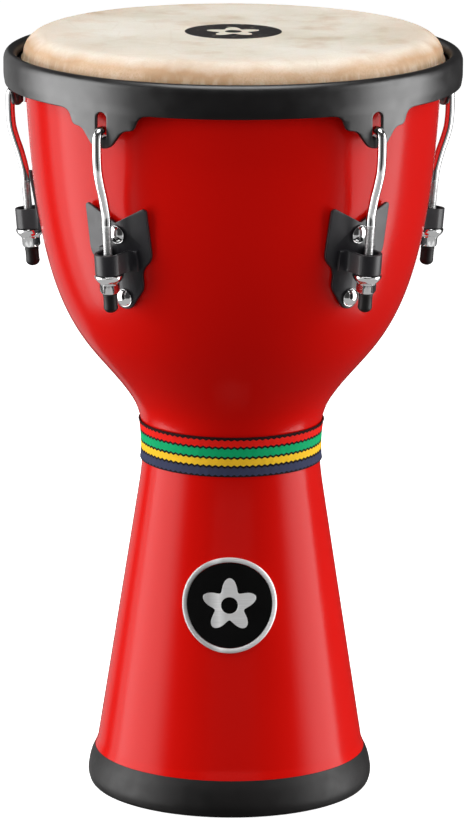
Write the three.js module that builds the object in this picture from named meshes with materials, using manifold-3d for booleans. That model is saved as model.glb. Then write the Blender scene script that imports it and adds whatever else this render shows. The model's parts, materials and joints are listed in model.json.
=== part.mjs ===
// Mechanically tuned 10-inch djembe: an hourglass shell in two mouldings, a skin head,
// a steel tension rim with five slotted ears, and five hooks drawn down by flange nuts.
//
// Millimetres, +Z up. The origin is on the floor, on the drum's axis. The front, where
// the badge is, faces -Y. Each lug is drawn with its outward direction along +X and is
// then turned about Z to its place.

import * as THREE from 'three';
import { mergeVertices } from 'three/addons/utils/BufferGeometryUtils.js';
import Module from 'manifold-3d';

const wasm = await Module();
wasm.setup();

// ---------------------------------------------------------------- driving dimensions

const LUG_COUNT = 5;
const FRONT_ANGLE = -90; // degrees, midway between the two front lugs
const FIRST_LUG_ANGLE = FRONT_ANGLE + 180 / LUG_COUNT;
const BADGE_ANGLE = FRONT_ANGLE - 2.4; // the badge is stuck on slightly off the front

const GAP = 0.3; // clearance between touching pieces
const TURN_STEPS = 48; // facets round every large turned piece
const CUT_NEAR = 90; // radial cutting prisms start inside the shell
const CUT_FAR = 160; // and end outside the rim

// shell: a straight cone, then two cubic curves, each given as [radius, height] points
const STEM_FOOT = [87.75, 5];
const STEM_TOP = [58.37, 193];
const STEM_NECK_HEIGHTS = [203, 212];
const WAIST_CURVE = [STEM_TOP, [54.94, 215], [53.83, 238], [62.93, 252]];
const BOWL_CURVE = [[62.93, 252], [88.7, 291.7], [120.95, 290.2], [128.96, 446]];
const BOWL_SHOULDER = [129.2, 469];
const BEARING_EDGE = [116, 481.6];
const WALL = 5.5;
const LIP_WIDTH = 0.8; // flat on top of the bearing edge
const CHAMBER_HEIGHTS = [474, 460, 415, 374, 334, 300, 272, 248]; // down the inside

// spigot joint between the two shell mouldings, hidden by the waist band
const JOINT_HEIGHT = 222;
const SPIGOT_LENGTH = 12;
const SPIGOT_WALL = 2.6;
const SOCKET_STEP = 2; // ledge that the spigot stops at
const BORE_THICK_END = 205; // the stem's wall thins from here up to the spigot
const BORE_THIN_END = 185;

// head
const HEAD_HEIGHT = 483;
const HEAD_FLAT_RADIUS = 116;
const SKIN_RADIUS = 130.6;
const SKIN_THICKNESS = 1;
const SKIN_SHOULDER_HEIGHT = 469;
const SKIN_HEM_HEIGHT = 462.5;

// flesh hoop: a round steel bar that carries the skin's edge
const HOOP_RADIUS = 135.4;
const HOOP_BAR_RADIUS = 2.4;
const HOOP_HEIGHT = 458.4;

// tension rim and its ears
const RIM_OUTER_RADIUS = 142.8;
const RIM_TOP = 472;
const RIM_BOTTOM = 451.4;
const RIM_CURL_CENTRE = [138.6, 466.2]; // [radius, height]
const RIM_CURL_REACH = [4.2, RIM_TOP - RIM_CURL_CENTRE[1]];
const RIM_HEM_RADIUS = 141.6; // the band draws in a little towards its lower edge
const RIM_CURL_END = [136.8, 465]; // the curled sheet's inner edge
const RIM_LEDGE_RADIUS = 133.4;
const RIM_LEDGE_BOTTOM = 461.2;
const RIM_LEDGE_TOP = 463.8;
const RIM_LEDGE_ROOT = [139.2, 138.8]; // radius below and above the ledge
const EAR_INNER_RADIUS = 139.5;
const EAR_OUTER_RADIUS = 141.9;
const EAR_TIP = 429.5;
const EAR_TOP = 457; // inside the rim's band
const SLOT_WIDTH = 7.5;
const SLOT_BOTTOM = 436;
const SLOT_TOP = 451.5;

// hook wire and its threaded shank
const WIRE_RADIUS = 2.9;
const HOOK_BEND_RADIUS = 5;
const HOOK_BEND_CENTRE = [141, 435.2]; // [radius, height]
const HOOK_TIP_DROP = 3.4;
const HOOK_DOGLEG = [
  [146, 430.5],
  [145.8, 423.5],
  [144.9, 415.5],
  [142.5, 407.4],
  [139.6, 399.3],
];
const SHANK_TILT = 5.2; // degrees, the shank leans in towards its lower end
const SHANK_SEAT = [133.26, 351.5]; // [radius, height] where the nut bears on the loop
const SHANK_TOP = 37; // these three lie along the shank, from the seat
const THREAD_TOP = 30;
const SHANK_END = -19.9;

// bracket: a plate bent to the bowl with a strap loop standing out of it
const PLATE_THICKNESS = 2.2;
const PLATE_STANDOFF = 0.6;
const PLATE_MIDDLE = 356; // height where the plate comes closest to the bowl
const PLATE_LOW = 322; // heights that the plate's outline lies between
const PLATE_HIGH = 396;
const LOOP_RADIUS = 8.4;
const LOOP_STRAP = 2.1;
const LOOP_HEIGHT = 12.9;
const LOOP_BACK = 12.9; // from the shank's axis to the loop's back

// tuning nut and rubber cap, measured down from the seat
const NUT_FLANGE_RADIUS = 9;
const NUT_FLANGE_RIM = 1.8;
const NUT_FLANGE_DEPTH = 6.2;
const NUT_HEX_RADIUS = 6.1;
const NUT_LENGTH = 12;
const NUT_BORE_RADIUS = 3.35;
const CAP_RADIUS = 4.4;
const CAP_BORE_RADIUS = 3.3;
const CAP_LENGTH = 12.3;

// bracket screws and the nuts inside the bowl
const SCREW_HEIGHTS = { upper: 374.5, lower: 334 };
const SCREW_HEAD_RADIUS = 5.8;
const SCREW_HEAD_HEIGHT = 3.2;
const SCREW_RADIUS = 1.9;
const SCREW_LENGTH = 17.5;
const SCREW_HOLE_RADIUS = 2.15;
const DRILL_REACH = [-20, 10]; // from the plate's outer face, inward and outward
const SCREW_NUT_RADIUS = 4.6;
const SCREW_NUT_BORE = 2.6;
const SCREW_NUT_HEIGHT = 4;
const SCREW_NUT_SEAT = 10.6; // from the plate's outer face down to the nut

// trim
const BAND_BOTTOM = 211.9;
const BAND_TOP = 237.5;
const BAND_THICKNESS = 1.1;
const BADGE_HEIGHT = 132.5;
const BADGE_RADIUS = 30;
const BEZEL_WIDTH = 3;
const BADGE_PLATE_THICKNESS = 1;
const BEZEL_THICKNESS = 1.7;

// rubber foot ring
const FOOT_TOP = [85.5, 23.5];
const FOOT_BULGE = [90.2, 8.6];
const FOOT_SOLE_OUTER = 86;
const FOOT_SOLE_INNER = 79;
const FOOT_LEG_TOP = 15;

// ---------------------------------------------------------------- materials

const finish = (color, roughness, metalness) =>
  new THREE.MeshStandardMaterial({ color, roughness, metalness });

const materials = {
  shell: () => finish(0xb8120c, 0.3, 0),
  rubber: () => finish(0x1c1b1b, 0.6, 0),
  skin: () => finish(0xe2dacb, 0.55, 0),
  blackSteel: () => finish(0x1e1c1d, 0.4, 0.3),
  chrome: () => finish(0xd8d8d8, 0.12, 1),
  steel: () => finish(0x9a9a98, 0.35, 1),
  weave: () => finish(0x1f6a4a, 0.85, 0),
  badge: () => finish(0x0b0b0c, 0.15, 0),
};

// ---------------------------------------------------------------- geometry helpers

const radians = THREE.MathUtils.degToRad;
const point = ([x, y]) => new THREE.Vector2(x, y);

// A closed geometry with shared vertices, no flat triangles, and its faces outward.
function closed(geometry) {
  geometry.deleteAttribute('normal');
  geometry.deleteAttribute('uv');
  const merged = mergeVertices(geometry);
  const corners = merged.getIndex().array;
  const kept = [];
  for (let i = 0; i < corners.length; i += 3) {
    const [a, b, c] = corners.slice(i, i + 3);
    if (a !== b && b !== c && c !== a) kept.push(a, b, c);
  }
  merged.setIndex(kept);
  if (signedVolume(merged) < 0) merged.setIndex(kept.reverse());
  return merged;
}

function signedVolume(geometry) {
  const positions = geometry.getAttribute('position');
  const corners = geometry.getIndex().array;
  const a = new THREE.Vector3();
  const b = new THREE.Vector3();
  const c = new THREE.Vector3();
  let volume = 0;
  for (let i = 0; i < corners.length; i += 3) {
    a.fromBufferAttribute(positions, corners[i]);
    b.fromBufferAttribute(positions, corners[i + 1]);
    c.fromBufferAttribute(positions, corners[i + 2]);
    volume += a.dot(b.cross(c)) / 6;
  }
  return volume;
}

function toSolid(geometry) {
  const positions = geometry.getAttribute('position').array;
  const mesh = new wasm.Mesh({
    numProp: 3,
    vertProperties: new Float32Array(positions),
    triVerts: new Uint32Array(geometry.getIndex().array),
  });
  return new wasm.Manifold(mesh);
}

function toGeometry(solid) {
  const mesh = solid.getMesh();
  const geometry = new THREE.BufferGeometry();
  geometry.setAttribute('position', new THREE.BufferAttribute(mesh.vertProperties, 3));
  geometry.setIndex(new THREE.BufferAttribute(mesh.triVerts, 1));
  return geometry;
}

const join = (a, b) => toGeometry(toSolid(a).add(toSolid(b)));
const cut = (a, b) => toGeometry(toSolid(a).subtract(toSolid(b)));
const common = (a, b) => toGeometry(toSolid(a).intersect(toSolid(b)));

// A solid of revolution about Z. The [radius, height] outline closes on itself unless
// it starts and ends on the axis.
function turned(outline, steps = TURN_STEPS) {
  const points = outline.map(point);
  const onAxis = outline[0][0] === 0 && outline.at(-1)[0] === 0;
  if (!onAxis) points.push(point(outline[0]));
  return closed(new THREE.LatheGeometry(points, steps).rotateX(Math.PI / 2));
}

// A prism of the shape (drawn in X and Y) from z = low to z = high.
function prism(shape, low, high, curveSegments = 4) {
  const options = { depth: high - low, bevelEnabled: false, curveSegments };
  return closed(new THREE.ExtrudeGeometry(shape, options).translate(0, 0, low));
}

// A shape drawn as [sideways, height] becomes a prism along +X, from x = near to far.
function radialPrism(shape, near, far, curveSegments) {
  const flat = prism(shape, near, far, curveSegments);
  const axes = new THREE.Matrix4().makeBasis(
    new THREE.Vector3(0, 1, 0),
    new THREE.Vector3(0, 0, 1),
    new THREE.Vector3(1, 0, 0),
  );
  return flat.applyMatrix4(axes);
}

const arcPoints = (centre, [width, height], from, to, steps) =>
  Array.from({ length: steps + 1 }, (_, i) => {
    const angle = radians(from + ((to - from) * i) / steps);
    return [centre[0] + width * Math.cos(angle), centre[1] + height * Math.sin(angle)];
  });

const curvePoints = (controls, steps) =>
  new THREE.CubicBezierCurve(...controls.map(point)).getPoints(steps).map((p) => [p.x, p.y]);

// ---------------------------------------------------------------- shell outline

const shellOutline = [
  STEM_FOOT,
  ...curvePoints(WAIST_CURVE, 40),
  ...curvePoints(BOWL_CURVE, 80).slice(1),
  BOWL_SHOULDER,
];

// Outer radius of the shell at a height.
function shellRadius(height) {
  const next = shellOutline.findIndex(([, z]) => z >= height);
  const [r1, z1] = shellOutline[Math.max(next, 1)];
  const [r0, z0] = shellOutline[Math.max(next, 1) - 1];
  return r0 + ((r1 - r0) * (height - z0)) / (z1 - z0);
}

// Lean of the outer surface, in degrees from vertical, positive where it opens upward.
const shellLean = (height) =>
  THREE.MathUtils.radToDeg(Math.atan((shellRadius(height + 1) - shellRadius(height - 1)) / 2));

// A point of the shell's surface moved out along its normal.
function offShell(height, distance) {
  const lean = radians(shellLean(height));
  return [
    shellRadius(height) + distance * Math.cos(lean),
    height - distance * Math.sin(lean),
  ];
}

const spread = (low, high, steps) =>
  Array.from({ length: steps + 1 }, (_, i) => low + ((high - low) * i) / steps);

// ---------------------------------------------------------------- shell and trim

function bowlGeometry() {
  const socketRadius = shellRadius(JOINT_HEIGHT) - SPIGOT_WALL;
  const socketTop = JOINT_HEIGHT + SPIGOT_LENGTH + GAP;
  const outside = spread(JOINT_HEIGHT, BOWL_CURVE[0][1], 3).map((z) => [shellRadius(z), z]);
  const flank = curvePoints(BOWL_CURVE, 7).slice(1);
  const edgeCentre = [BEARING_EDGE[0], BOWL_SHOULDER[1]];
  const edgeSize = [BOWL_SHOULDER[0] - BEARING_EDGE[0], BEARING_EDGE[1] - BOWL_SHOULDER[1]];
  const edge = arcPoints(edgeCentre, edgeSize, 0, 90, 3);
  const inside = CHAMBER_HEIGHTS.map((z) => offShell(z, -WALL));
  inside[0][0] = BEARING_EDGE[0] - LIP_WIDTH;
  const socket = [
    [socketRadius - SOCKET_STEP, socketTop],
    [socketRadius, socketTop],
    [socketRadius, JOINT_HEIGHT],
  ];
  return turned([...outside, ...flank, ...edge, ...inside, ...socket]);
}

function stemGeometry() {
  const seam = JOINT_HEIGHT - GAP;
  const spigotOuter = shellRadius(JOINT_HEIGHT) - SPIGOT_WALL - GAP;
  const spigotTop = JOINT_HEIGHT + SPIGOT_LENGTH;
  const bore = spigotOuter - SPIGOT_WALL;
  const outside = [STEM_FOOT, STEM_TOP, ...STEM_NECK_HEIGHTS.map((z) => [shellRadius(z), z])];
  const spigot = [
    [shellRadius(seam), seam],
    [spigotOuter, seam],
    [spigotOuter, spigotTop],
    [bore, spigotTop],
  ];
  const inside = [[bore, BORE_THICK_END], offShell(BORE_THIN_END, -WALL)];
  return turned([...outside, ...spigot, ...inside, [STEM_FOOT[0] - WALL, STEM_FOOT[1]]]);
}

function footGeometry() {
  const [topRadius, topHeight] = FOOT_TOP;
  const groove = (z, side) => [shellRadius(Math.max(z, STEM_FOOT[1])) + side, z];
  const bulge = new THREE.SplineCurve(
    [FOOT_TOP, [88.3, 18], FOOT_BULGE, [89, 2.2], [FOOT_SOLE_OUTER, 0]].map(point),
  );
  const outside = bulge.getPoints(6).map((p) => [p.x, p.y]);
  const grooveFloor = STEM_FOOT[1] - GAP;
  const legOuter = -WALL - 2 * GAP;
  return turned([
    ...outside,
    [FOOT_SOLE_INNER, 0],
    [FOOT_SOLE_INNER, FOOT_LEG_TOP],
    groove(FOOT_LEG_TOP, legOuter),
    groove(grooveFloor, legOuter),
    groove(grooveFloor, GAP),
    [topRadius - 0.3, topHeight],
  ]);
}

function bandGeometry() {
  const heights = spread(BAND_BOTTOM, BAND_TOP, 3);
  const outside = heights.map((z) => [shellRadius(z) + GAP + BAND_THICKNESS, z]);
  const inside = heights.map((z) => [shellRadius(z) + GAP, z]).reverse();
  return turned([...outside, ...inside]);
}

// Wraps a flat disc, whose Z is its thickness, onto the front of the stem's cone.
function wrapOnStem(geometry) {
  const positions = geometry.getAttribute('position');
  const lean = radians(shellLean(BADGE_HEIGHT));
  for (let i = 0; i < positions.count; i += 1) {
    const height = BADGE_HEIGHT + positions.getY(i) * Math.cos(lean);
    const radius = shellRadius(height);
    const angle = radians(BADGE_ANGLE) + positions.getX(i) / radius;
    const outer = radius + positions.getZ(i) * Math.cos(lean);
    const lift = -positions.getZ(i) * Math.sin(lean);
    positions.setXYZ(i, outer * Math.cos(angle), outer * Math.sin(angle), height + lift);
  }
  return geometry;
}

function badgePlateGeometry() {
  const radius = BADGE_RADIUS - BEZEL_WIDTH - GAP;
  const radii = [0, radius / 3, (2 * radius) / 3, radius];
  const back = radii.map((r) => [r, GAP]);
  const face = radii.map((r) => [r, GAP + BADGE_PLATE_THICKNESS]).reverse();
  return wrapOnStem(turned([...back, ...face], 24));
}

function badgeBezelGeometry() {
  const inner = BADGE_RADIUS - BEZEL_WIDTH;
  const middle = BADGE_RADIUS - BEZEL_WIDTH / 2;
  const section = [
    [inner, GAP],
    [BADGE_RADIUS, GAP],
    [BADGE_RADIUS, GAP + BEZEL_THICKNESS / 2],
    [middle, GAP + BEZEL_THICKNESS],
    [inner, GAP + BADGE_PLATE_THICKNESS],
  ];
  return wrapOnStem(turned(section, 36));
}

// ---------------------------------------------------------------- head, hoop and rim

function skinGeometry() {
  const fall = SKIN_RADIUS - HEAD_FLAT_RADIUS;
  const drop = HEAD_HEIGHT - SKIN_SHOULDER_HEIGHT;
  const centre = [HEAD_FLAT_RADIUS, SKIN_SHOULDER_HEIGHT];
  const outer = arcPoints(centre, [fall, drop], 90, 0, 4);
  const innerSize = [fall - SKIN_THICKNESS, drop - SKIN_THICKNESS];
  const inner = arcPoints(centre, innerSize, 0, 90, 4);
  return turned([
    [0, HEAD_HEIGHT],
    ...outer,
    [SKIN_RADIUS + 0.2, SKIN_HEM_HEIGHT],
    [SKIN_RADIUS + 0.2 - SKIN_THICKNESS, SKIN_HEM_HEIGHT],
    ...inner,
    [0, HEAD_HEIGHT - SKIN_THICKNESS],
  ]);
}

const hoopGeometry = () =>
  turned(arcPoints([HOOP_RADIUS, HOOP_HEIGHT], [HOOP_BAR_RADIUS, HOOP_BAR_RADIUS], 0, 300, 5));

function earShape() {
  const shape = new THREE.Shape();
  const half = (side) => [
    [side * 31, EAR_TOP - 1],
    [side * 31, 451.2],
    [side * 24.8, 447.6],
    [side * 23.6, 444.8],
    [side * 19, 441.6],
    [side * 12.4, 437.6],
    [side * 8.4, 432.6],
  ];
  const right = half(1);
  const left = half(-1);
  shape.moveTo(...right[0]);
  shape.lineTo(...right[1]);
  shape.quadraticCurveTo(26.8, 451, ...right[2]);
  shape.lineTo(...right[3]);
  shape.quadraticCurveTo(22.8, 441.8, ...right[4]);
  shape.quadraticCurveTo(14.8, 441.4, ...right[5]);
  shape.lineTo(...right[6]);
  shape.quadraticCurveTo(5.6, EAR_TIP, 0, EAR_TIP);
  shape.quadraticCurveTo(-5.6, EAR_TIP, ...left[6]);
  shape.lineTo(...left[5]);
  shape.quadraticCurveTo(-14.8, 441.4, ...left[4]);
  shape.quadraticCurveTo(-22.8, 441.8, ...left[3]);
  shape.lineTo(...left[2]);
  shape.quadraticCurveTo(-26.8, 451, ...left[1]);
  shape.lineTo(...left[0]);
  return shape;
}

const lugAngle = (index) => FIRST_LUG_ANGLE + (360 / LUG_COUNT) * index;

function rimGeometry() {
  const ring = turned([
    [RIM_HEM_RADIUS, RIM_BOTTOM],
    [RIM_OUTER_RADIUS, EAR_TOP],
    ...arcPoints(RIM_CURL_CENTRE, RIM_CURL_REACH, 0, 180, 6),
    RIM_CURL_END,
    [RIM_LEDGE_ROOT[1], RIM_LEDGE_TOP],
    [RIM_LEDGE_RADIUS, RIM_LEDGE_TOP],
    [RIM_LEDGE_RADIUS, RIM_LEDGE_BOTTOM],
    [RIM_LEDGE_ROOT[0], RIM_LEDGE_BOTTOM],
    [EAR_INNER_RADIUS, RIM_BOTTOM],
  ]);
  const skirt = turned([
    [EAR_INNER_RADIUS, EAR_TIP - 1],
    [EAR_OUTER_RADIUS, EAR_TIP - 1],
    [EAR_OUTER_RADIUS, EAR_TOP],
    [EAR_INNER_RADIUS, EAR_TOP],
  ]);
  const slot = slotCutter();
  let rim = toSolid(ring);
  for (let index = 0; index < LUG_COUNT; index += 1) {
    const turn = radians(lugAngle(index));
    const ear = common(skirt, radialPrism(earShape(), CUT_NEAR, CUT_FAR, 3).rotateZ(turn));
    rim = rim.add(toSolid(ear)).subtract(toSolid(slot.clone().rotateZ(turn)));
  }
  return toGeometry(rim);
}

function slotCutter() {
  const half = SLOT_WIDTH / 2;
  const shape = new THREE.Shape();
  shape.moveTo(-half, SLOT_BOTTOM);
  shape.lineTo(half, SLOT_BOTTOM);
  shape.lineTo(half, SLOT_TOP - half);
  shape.absarc(0, SLOT_TOP - half, half, 0, Math.PI, false);
  return radialPrism(shape, CUT_NEAR, CUT_FAR, 3);
}

// ---------------------------------------------------------------- lug pieces

// Moves a piece drawn about the shank (its Z along the shank, 0 at the nut's seat)
// to its place on the lug.
const onShank = (geometry) =>
  geometry.rotateY(radians(SHANK_TILT)).translate(SHANK_SEAT[0], 0, SHANK_SEAT[1]);

function alongShank(distance) {
  const tilt = radians(SHANK_TILT);
  return [
    SHANK_SEAT[0] + distance * Math.sin(tilt),
    SHANK_SEAT[1] + distance * Math.cos(tilt),
  ];
}

// A bent wire's centre line: straight between its given points.
class BentWire extends THREE.Curve {
  constructor(points) {
    super();
    this.points = points;
  }

  getPoint(t) {
    const last = this.points.length - 1;
    const place = Math.min(t * last, last - 1e-9);
    const index = Math.floor(place);
    return this.points[index].clone().lerp(this.points[index + 1], place - index);
  }

  getPointAt(u) {
    return this.getPoint(u);
  }

  getSpacedPoints() {
    return this.points.map((p) => p.clone());
  }

  getTangentAt(u) {
    const last = this.points.length - 1;
    const index = Math.round(u * last);
    const before = this.points[Math.max(index - 1, 0)];
    const after = this.points[Math.min(index + 1, last)];
    return after.clone().sub(before).normalize();
  }
}

// The hook rises behind the ear, bends over the lip below the slot, comes down outside
// the ear, steps in with a soft dogleg and ends in the straight threaded shank.
function hookGeometry() {
  const bend = arcPoints(HOOK_BEND_CENTRE, [HOOK_BEND_RADIUS, HOOK_BEND_RADIUS], 180, 0, 7);
  const [innerLeg] = bend;
  const tip = [innerLeg[0], innerLeg[1] - HOOK_TIP_DROP];
  const shank = [SHANK_TOP, THREAD_TOP, SHANK_END].map(alongShank);
  const path = [tip, ...bend, ...HOOK_DOGLEG, ...shank].map(([r, z]) => new THREE.Vector3(r, 0, z));
  const section = new THREE.Shape().absarc(0, 0, WIRE_RADIUS, 0, 2 * Math.PI, false);
  const wire = new THREE.ExtrudeGeometry(section, {
    steps: path.length - 1,
    curveSegments: 4,
    extrudePath: new BentWire(path),
  });
  return closed(wire);
}

function plateShape() {
  const shape = new THREE.Shape();
  shape.moveTo(0, 381.8);
  shape.lineTo(17.5, 391);
  shape.quadraticCurveTo(22, 392.6, 22, 388);
  shape.lineTo(22.6, 361.5);
  shape.quadraticCurveTo(22.6, 358.4, 20, 356.6);
  shape.quadraticCurveTo(14.6, 353, 14.6, 346.5);
  shape.lineTo(14, 340.6);
  shape.lineTo(4.4, 327.6);
  shape.quadraticCurveTo(0, 323.4, -4.4, 327.6);
  shape.lineTo(-14, 340.6);
  shape.lineTo(-14.6, 346.5);
  shape.quadraticCurveTo(-14.6, 353, -20, 356.6);
  shape.quadraticCurveTo(-22.6, 358.4, -22.6, 361.5);
  shape.lineTo(-22, 388);
  shape.quadraticCurveTo(-22, 392.6, -17.5, 391);
  return shape;
}

// Radius of the plate's inner face at a height.
const plateRadius = (height) =>
  shellRadius(PLATE_MIDDLE) +
  PLATE_STANDOFF +
  (height - PLATE_MIDDLE) * Math.tan(radians(shellLean(PLATE_MIDDLE)));

// Moves a piece drawn about a screw (its Z out of the drum, 0 at the plate's outer
// face) to its place on the lug.
function onScrew(geometry, height) {
  const lean = shellLean(PLATE_MIDDLE);
  const outer = plateRadius(height) + PLATE_THICKNESS / Math.cos(radians(lean));
  return geometry.rotateY(radians(90 + lean)).translate(outer, 0, height);
}

function loopShape() {
  const outline = (radius, back) => {
    const path = new THREE.Shape();
    path.moveTo(-back, -radius);
    path.lineTo(0, -radius);
    path.absarc(0, 0, radius, -Math.PI / 2, Math.PI / 2, false);
    path.lineTo(-back, radius);
    return path;
  };
  const shape = outline(LOOP_RADIUS, LOOP_BACK);
  shape.holes.push(outline(LOOP_RADIUS - LOOP_STRAP, LOOP_BACK - LOOP_STRAP));
  return shape;
}

function bracketGeometry() {
  const low = plateRadius(PLATE_LOW);
  const high = plateRadius(PLATE_HIGH);
  const sleeve = turned([
    [low, PLATE_LOW],
    [low + PLATE_THICKNESS, PLATE_LOW],
    [high + PLATE_THICKNESS, PLATE_HIGH],
    [high, PLATE_HIGH],
  ]);
  let bracket = common(sleeve, radialPrism(plateShape(), CUT_NEAR, CUT_FAR, 2));
  bracket = join(bracket, onShank(prism(loopShape(), 0, LOOP_HEIGHT)));
  for (const height of Object.values(SCREW_HEIGHTS)) {
    bracket = cut(bracket, onScrew(screwHole(), height));
  }
  return bracket;
}

// A drill, long enough to go through the plate and the bowl's wall.
function screwHole() {
  const [deep, clear] = DRILL_REACH;
  return turned([[0, deep], [SCREW_HOLE_RADIUS, deep], [SCREW_HOLE_RADIUS, clear], [0, clear]], 8);
}

function screwGeometry(height) {
  const dome = arcPoints([0, GAP], [SCREW_HEAD_RADIUS, SCREW_HEAD_HEIGHT], 90, 0, 3);
  dome[0] = [0, GAP + SCREW_HEAD_HEIGHT];
  const shaft = [[SCREW_RADIUS, GAP], [SCREW_RADIUS, -SCREW_LENGTH], [0, -SCREW_LENGTH]];
  return onScrew(turned([...dome, ...shaft], 8), height);
}

function screwNutGeometry(height) {
  const top = -SCREW_NUT_SEAT;
  const bottom = top - SCREW_NUT_HEIGHT;
  const section = [
    [SCREW_NUT_BORE, top],
    [SCREW_NUT_RADIUS, top],
    [SCREW_NUT_RADIUS, bottom],
    [SCREW_NUT_BORE, bottom],
  ];
  return onScrew(turned(section, 6), height);
}

function tuningNutGeometry() {
  const flange = turned([
    [0, -GAP],
    [NUT_FLANGE_RADIUS, -GAP],
    [NUT_FLANGE_RADIUS, -NUT_FLANGE_RIM],
    [NUT_HEX_RADIUS - 0.5, -NUT_FLANGE_DEPTH],
    [0, -NUT_FLANGE_DEPTH],
  ], 18);
  const hex = turned([
    [0, -NUT_FLANGE_DEPTH + 2],
    [NUT_HEX_RADIUS, -NUT_FLANGE_DEPTH + 2],
    [NUT_HEX_RADIUS, -NUT_LENGTH],
    [0, -NUT_LENGTH],
  ], 6);
  const bore = turned([
    [0, 1],
    [NUT_BORE_RADIUS, 1],
    [NUT_BORE_RADIUS, -NUT_LENGTH - 1],
    [0, -NUT_LENGTH - 1],
  ], 10);
  return onShank(cut(join(flange, hex), bore));
}

function capGeometry() {
  const mouth = -NUT_LENGTH - GAP;
  const end = mouth - CAP_LENGTH;
  const well = SHANK_END - GAP;
  const round = arcPoints([0, end + CAP_RADIUS], [CAP_RADIUS, CAP_RADIUS], 270, 360, 3);
  round[0] = [0, end];
  return onShank(turned([
    ...round,
    [CAP_RADIUS, mouth],
    [CAP_BORE_RADIUS, mouth],
    [CAP_BORE_RADIUS, well],
    [0, well],
  ], 10));
}

// ---------------------------------------------------------------- assembly

const djembe = new THREE.Group();

function addPiece(name, geometry, material, turn = 0) {
  const mesh = new THREE.Mesh(geometry, material());
  mesh.name = name;
  mesh.rotation.z = radians(turn);
  djembe.add(mesh);
}

function drilledBowl() {
  let bowl = toSolid(bowlGeometry());
  for (let index = 0; index < LUG_COUNT; index += 1) {
    for (const height of Object.values(SCREW_HEIGHTS)) {
      const hole = onScrew(screwHole(), height).rotateZ(radians(lugAngle(index)));
      bowl = bowl.subtract(toSolid(hole));
    }
  }
  return toGeometry(bowl);
}

addPiece('bowl', drilledBowl(), materials.shell);
addPiece('stem', stemGeometry(), materials.shell);
addPiece('foot_ring', footGeometry(), materials.rubber);
addPiece('waist_band', bandGeometry(), materials.weave);
addPiece('badge_plate', badgePlateGeometry(), materials.badge);
addPiece('badge_bezel', badgeBezelGeometry(), materials.chrome);
addPiece('head_skin', skinGeometry(), materials.skin);
addPiece('flesh_hoop', hoopGeometry(), materials.steel);
addPiece('tension_rim', rimGeometry(), materials.blackSteel);

for (let index = 0; index < LUG_COUNT; index += 1) {
  const turn = lugAngle(index);
  const number = index + 1;
  addPiece(`hook_${number}`, hookGeometry(), materials.chrome, turn);
  addPiece(`lug_bracket_${number}`, bracketGeometry(), materials.blackSteel, turn);
  addPiece(`tuning_nut_${number}`, tuningNutGeometry(), materials.chrome, turn);
  addPiece(`thread_cap_${number}`, capGeometry(), materials.rubber, turn);
  for (const [place, height] of Object.entries(SCREW_HEIGHTS)) {
    addPiece(`lug_screw_${place}_${number}`, screwGeometry(height), materials.chrome, turn);
    addPiece(`screw_nut_${place}_${number}`, screwNutGeometry(height), materials.steel, turn);
  }
}

export default djembe;
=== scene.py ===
"""Mechanically tuned djembe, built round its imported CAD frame.

Shapes are drawn in millimetres in the row frame (+Z up, the badge towards -Y) and made
in metres. Each lug is drawn with its outward direction along +X, then turned about Z.
"""

import json
import math

import bmesh
import bpy
from mathutils import Matrix, Vector, noise

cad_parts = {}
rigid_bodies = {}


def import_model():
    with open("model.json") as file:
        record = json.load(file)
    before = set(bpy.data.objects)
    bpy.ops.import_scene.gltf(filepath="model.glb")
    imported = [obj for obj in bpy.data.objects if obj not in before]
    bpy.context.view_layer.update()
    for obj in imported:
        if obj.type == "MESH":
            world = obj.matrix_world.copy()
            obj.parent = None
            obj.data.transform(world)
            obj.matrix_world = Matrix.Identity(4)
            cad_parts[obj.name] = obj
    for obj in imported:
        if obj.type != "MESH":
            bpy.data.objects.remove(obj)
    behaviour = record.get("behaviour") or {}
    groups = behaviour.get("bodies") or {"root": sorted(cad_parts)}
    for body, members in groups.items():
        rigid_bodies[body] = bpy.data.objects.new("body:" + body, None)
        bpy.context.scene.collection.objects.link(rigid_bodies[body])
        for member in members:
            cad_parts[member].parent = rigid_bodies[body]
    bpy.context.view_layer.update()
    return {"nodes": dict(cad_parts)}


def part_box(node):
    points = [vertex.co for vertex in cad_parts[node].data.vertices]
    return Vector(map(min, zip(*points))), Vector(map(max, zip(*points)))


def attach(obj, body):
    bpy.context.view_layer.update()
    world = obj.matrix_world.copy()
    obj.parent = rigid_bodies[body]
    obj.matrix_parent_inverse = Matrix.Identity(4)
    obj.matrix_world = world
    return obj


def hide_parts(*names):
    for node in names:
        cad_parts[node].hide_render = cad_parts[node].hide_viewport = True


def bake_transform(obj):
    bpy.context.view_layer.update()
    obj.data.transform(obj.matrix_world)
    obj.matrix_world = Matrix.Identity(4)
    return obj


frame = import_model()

MM = 0.001
TAU = 2 * math.pi


def node_box(name):
    """A CAD node's lowest and highest corners, in millimetres."""
    low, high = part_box(name)
    return Vector(low) / MM, Vector(high) / MM


# ------------------------------------------------------------------ sizes, in mm
# A pair is a radius and a height unless its comment says otherwise.

LUG_COUNT = 5
FRONT_ANGLE = -90.0
FIRST_LUG_ANGLE = FRONT_ANGLE + 180 / LUG_COUNT
BADGE_ANGLE = FRONT_ANGLE - 2.4  # stuck on slightly off the front
ROUND_STEPS = 192
GAP = 0.3  # between neighbouring pieces

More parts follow.
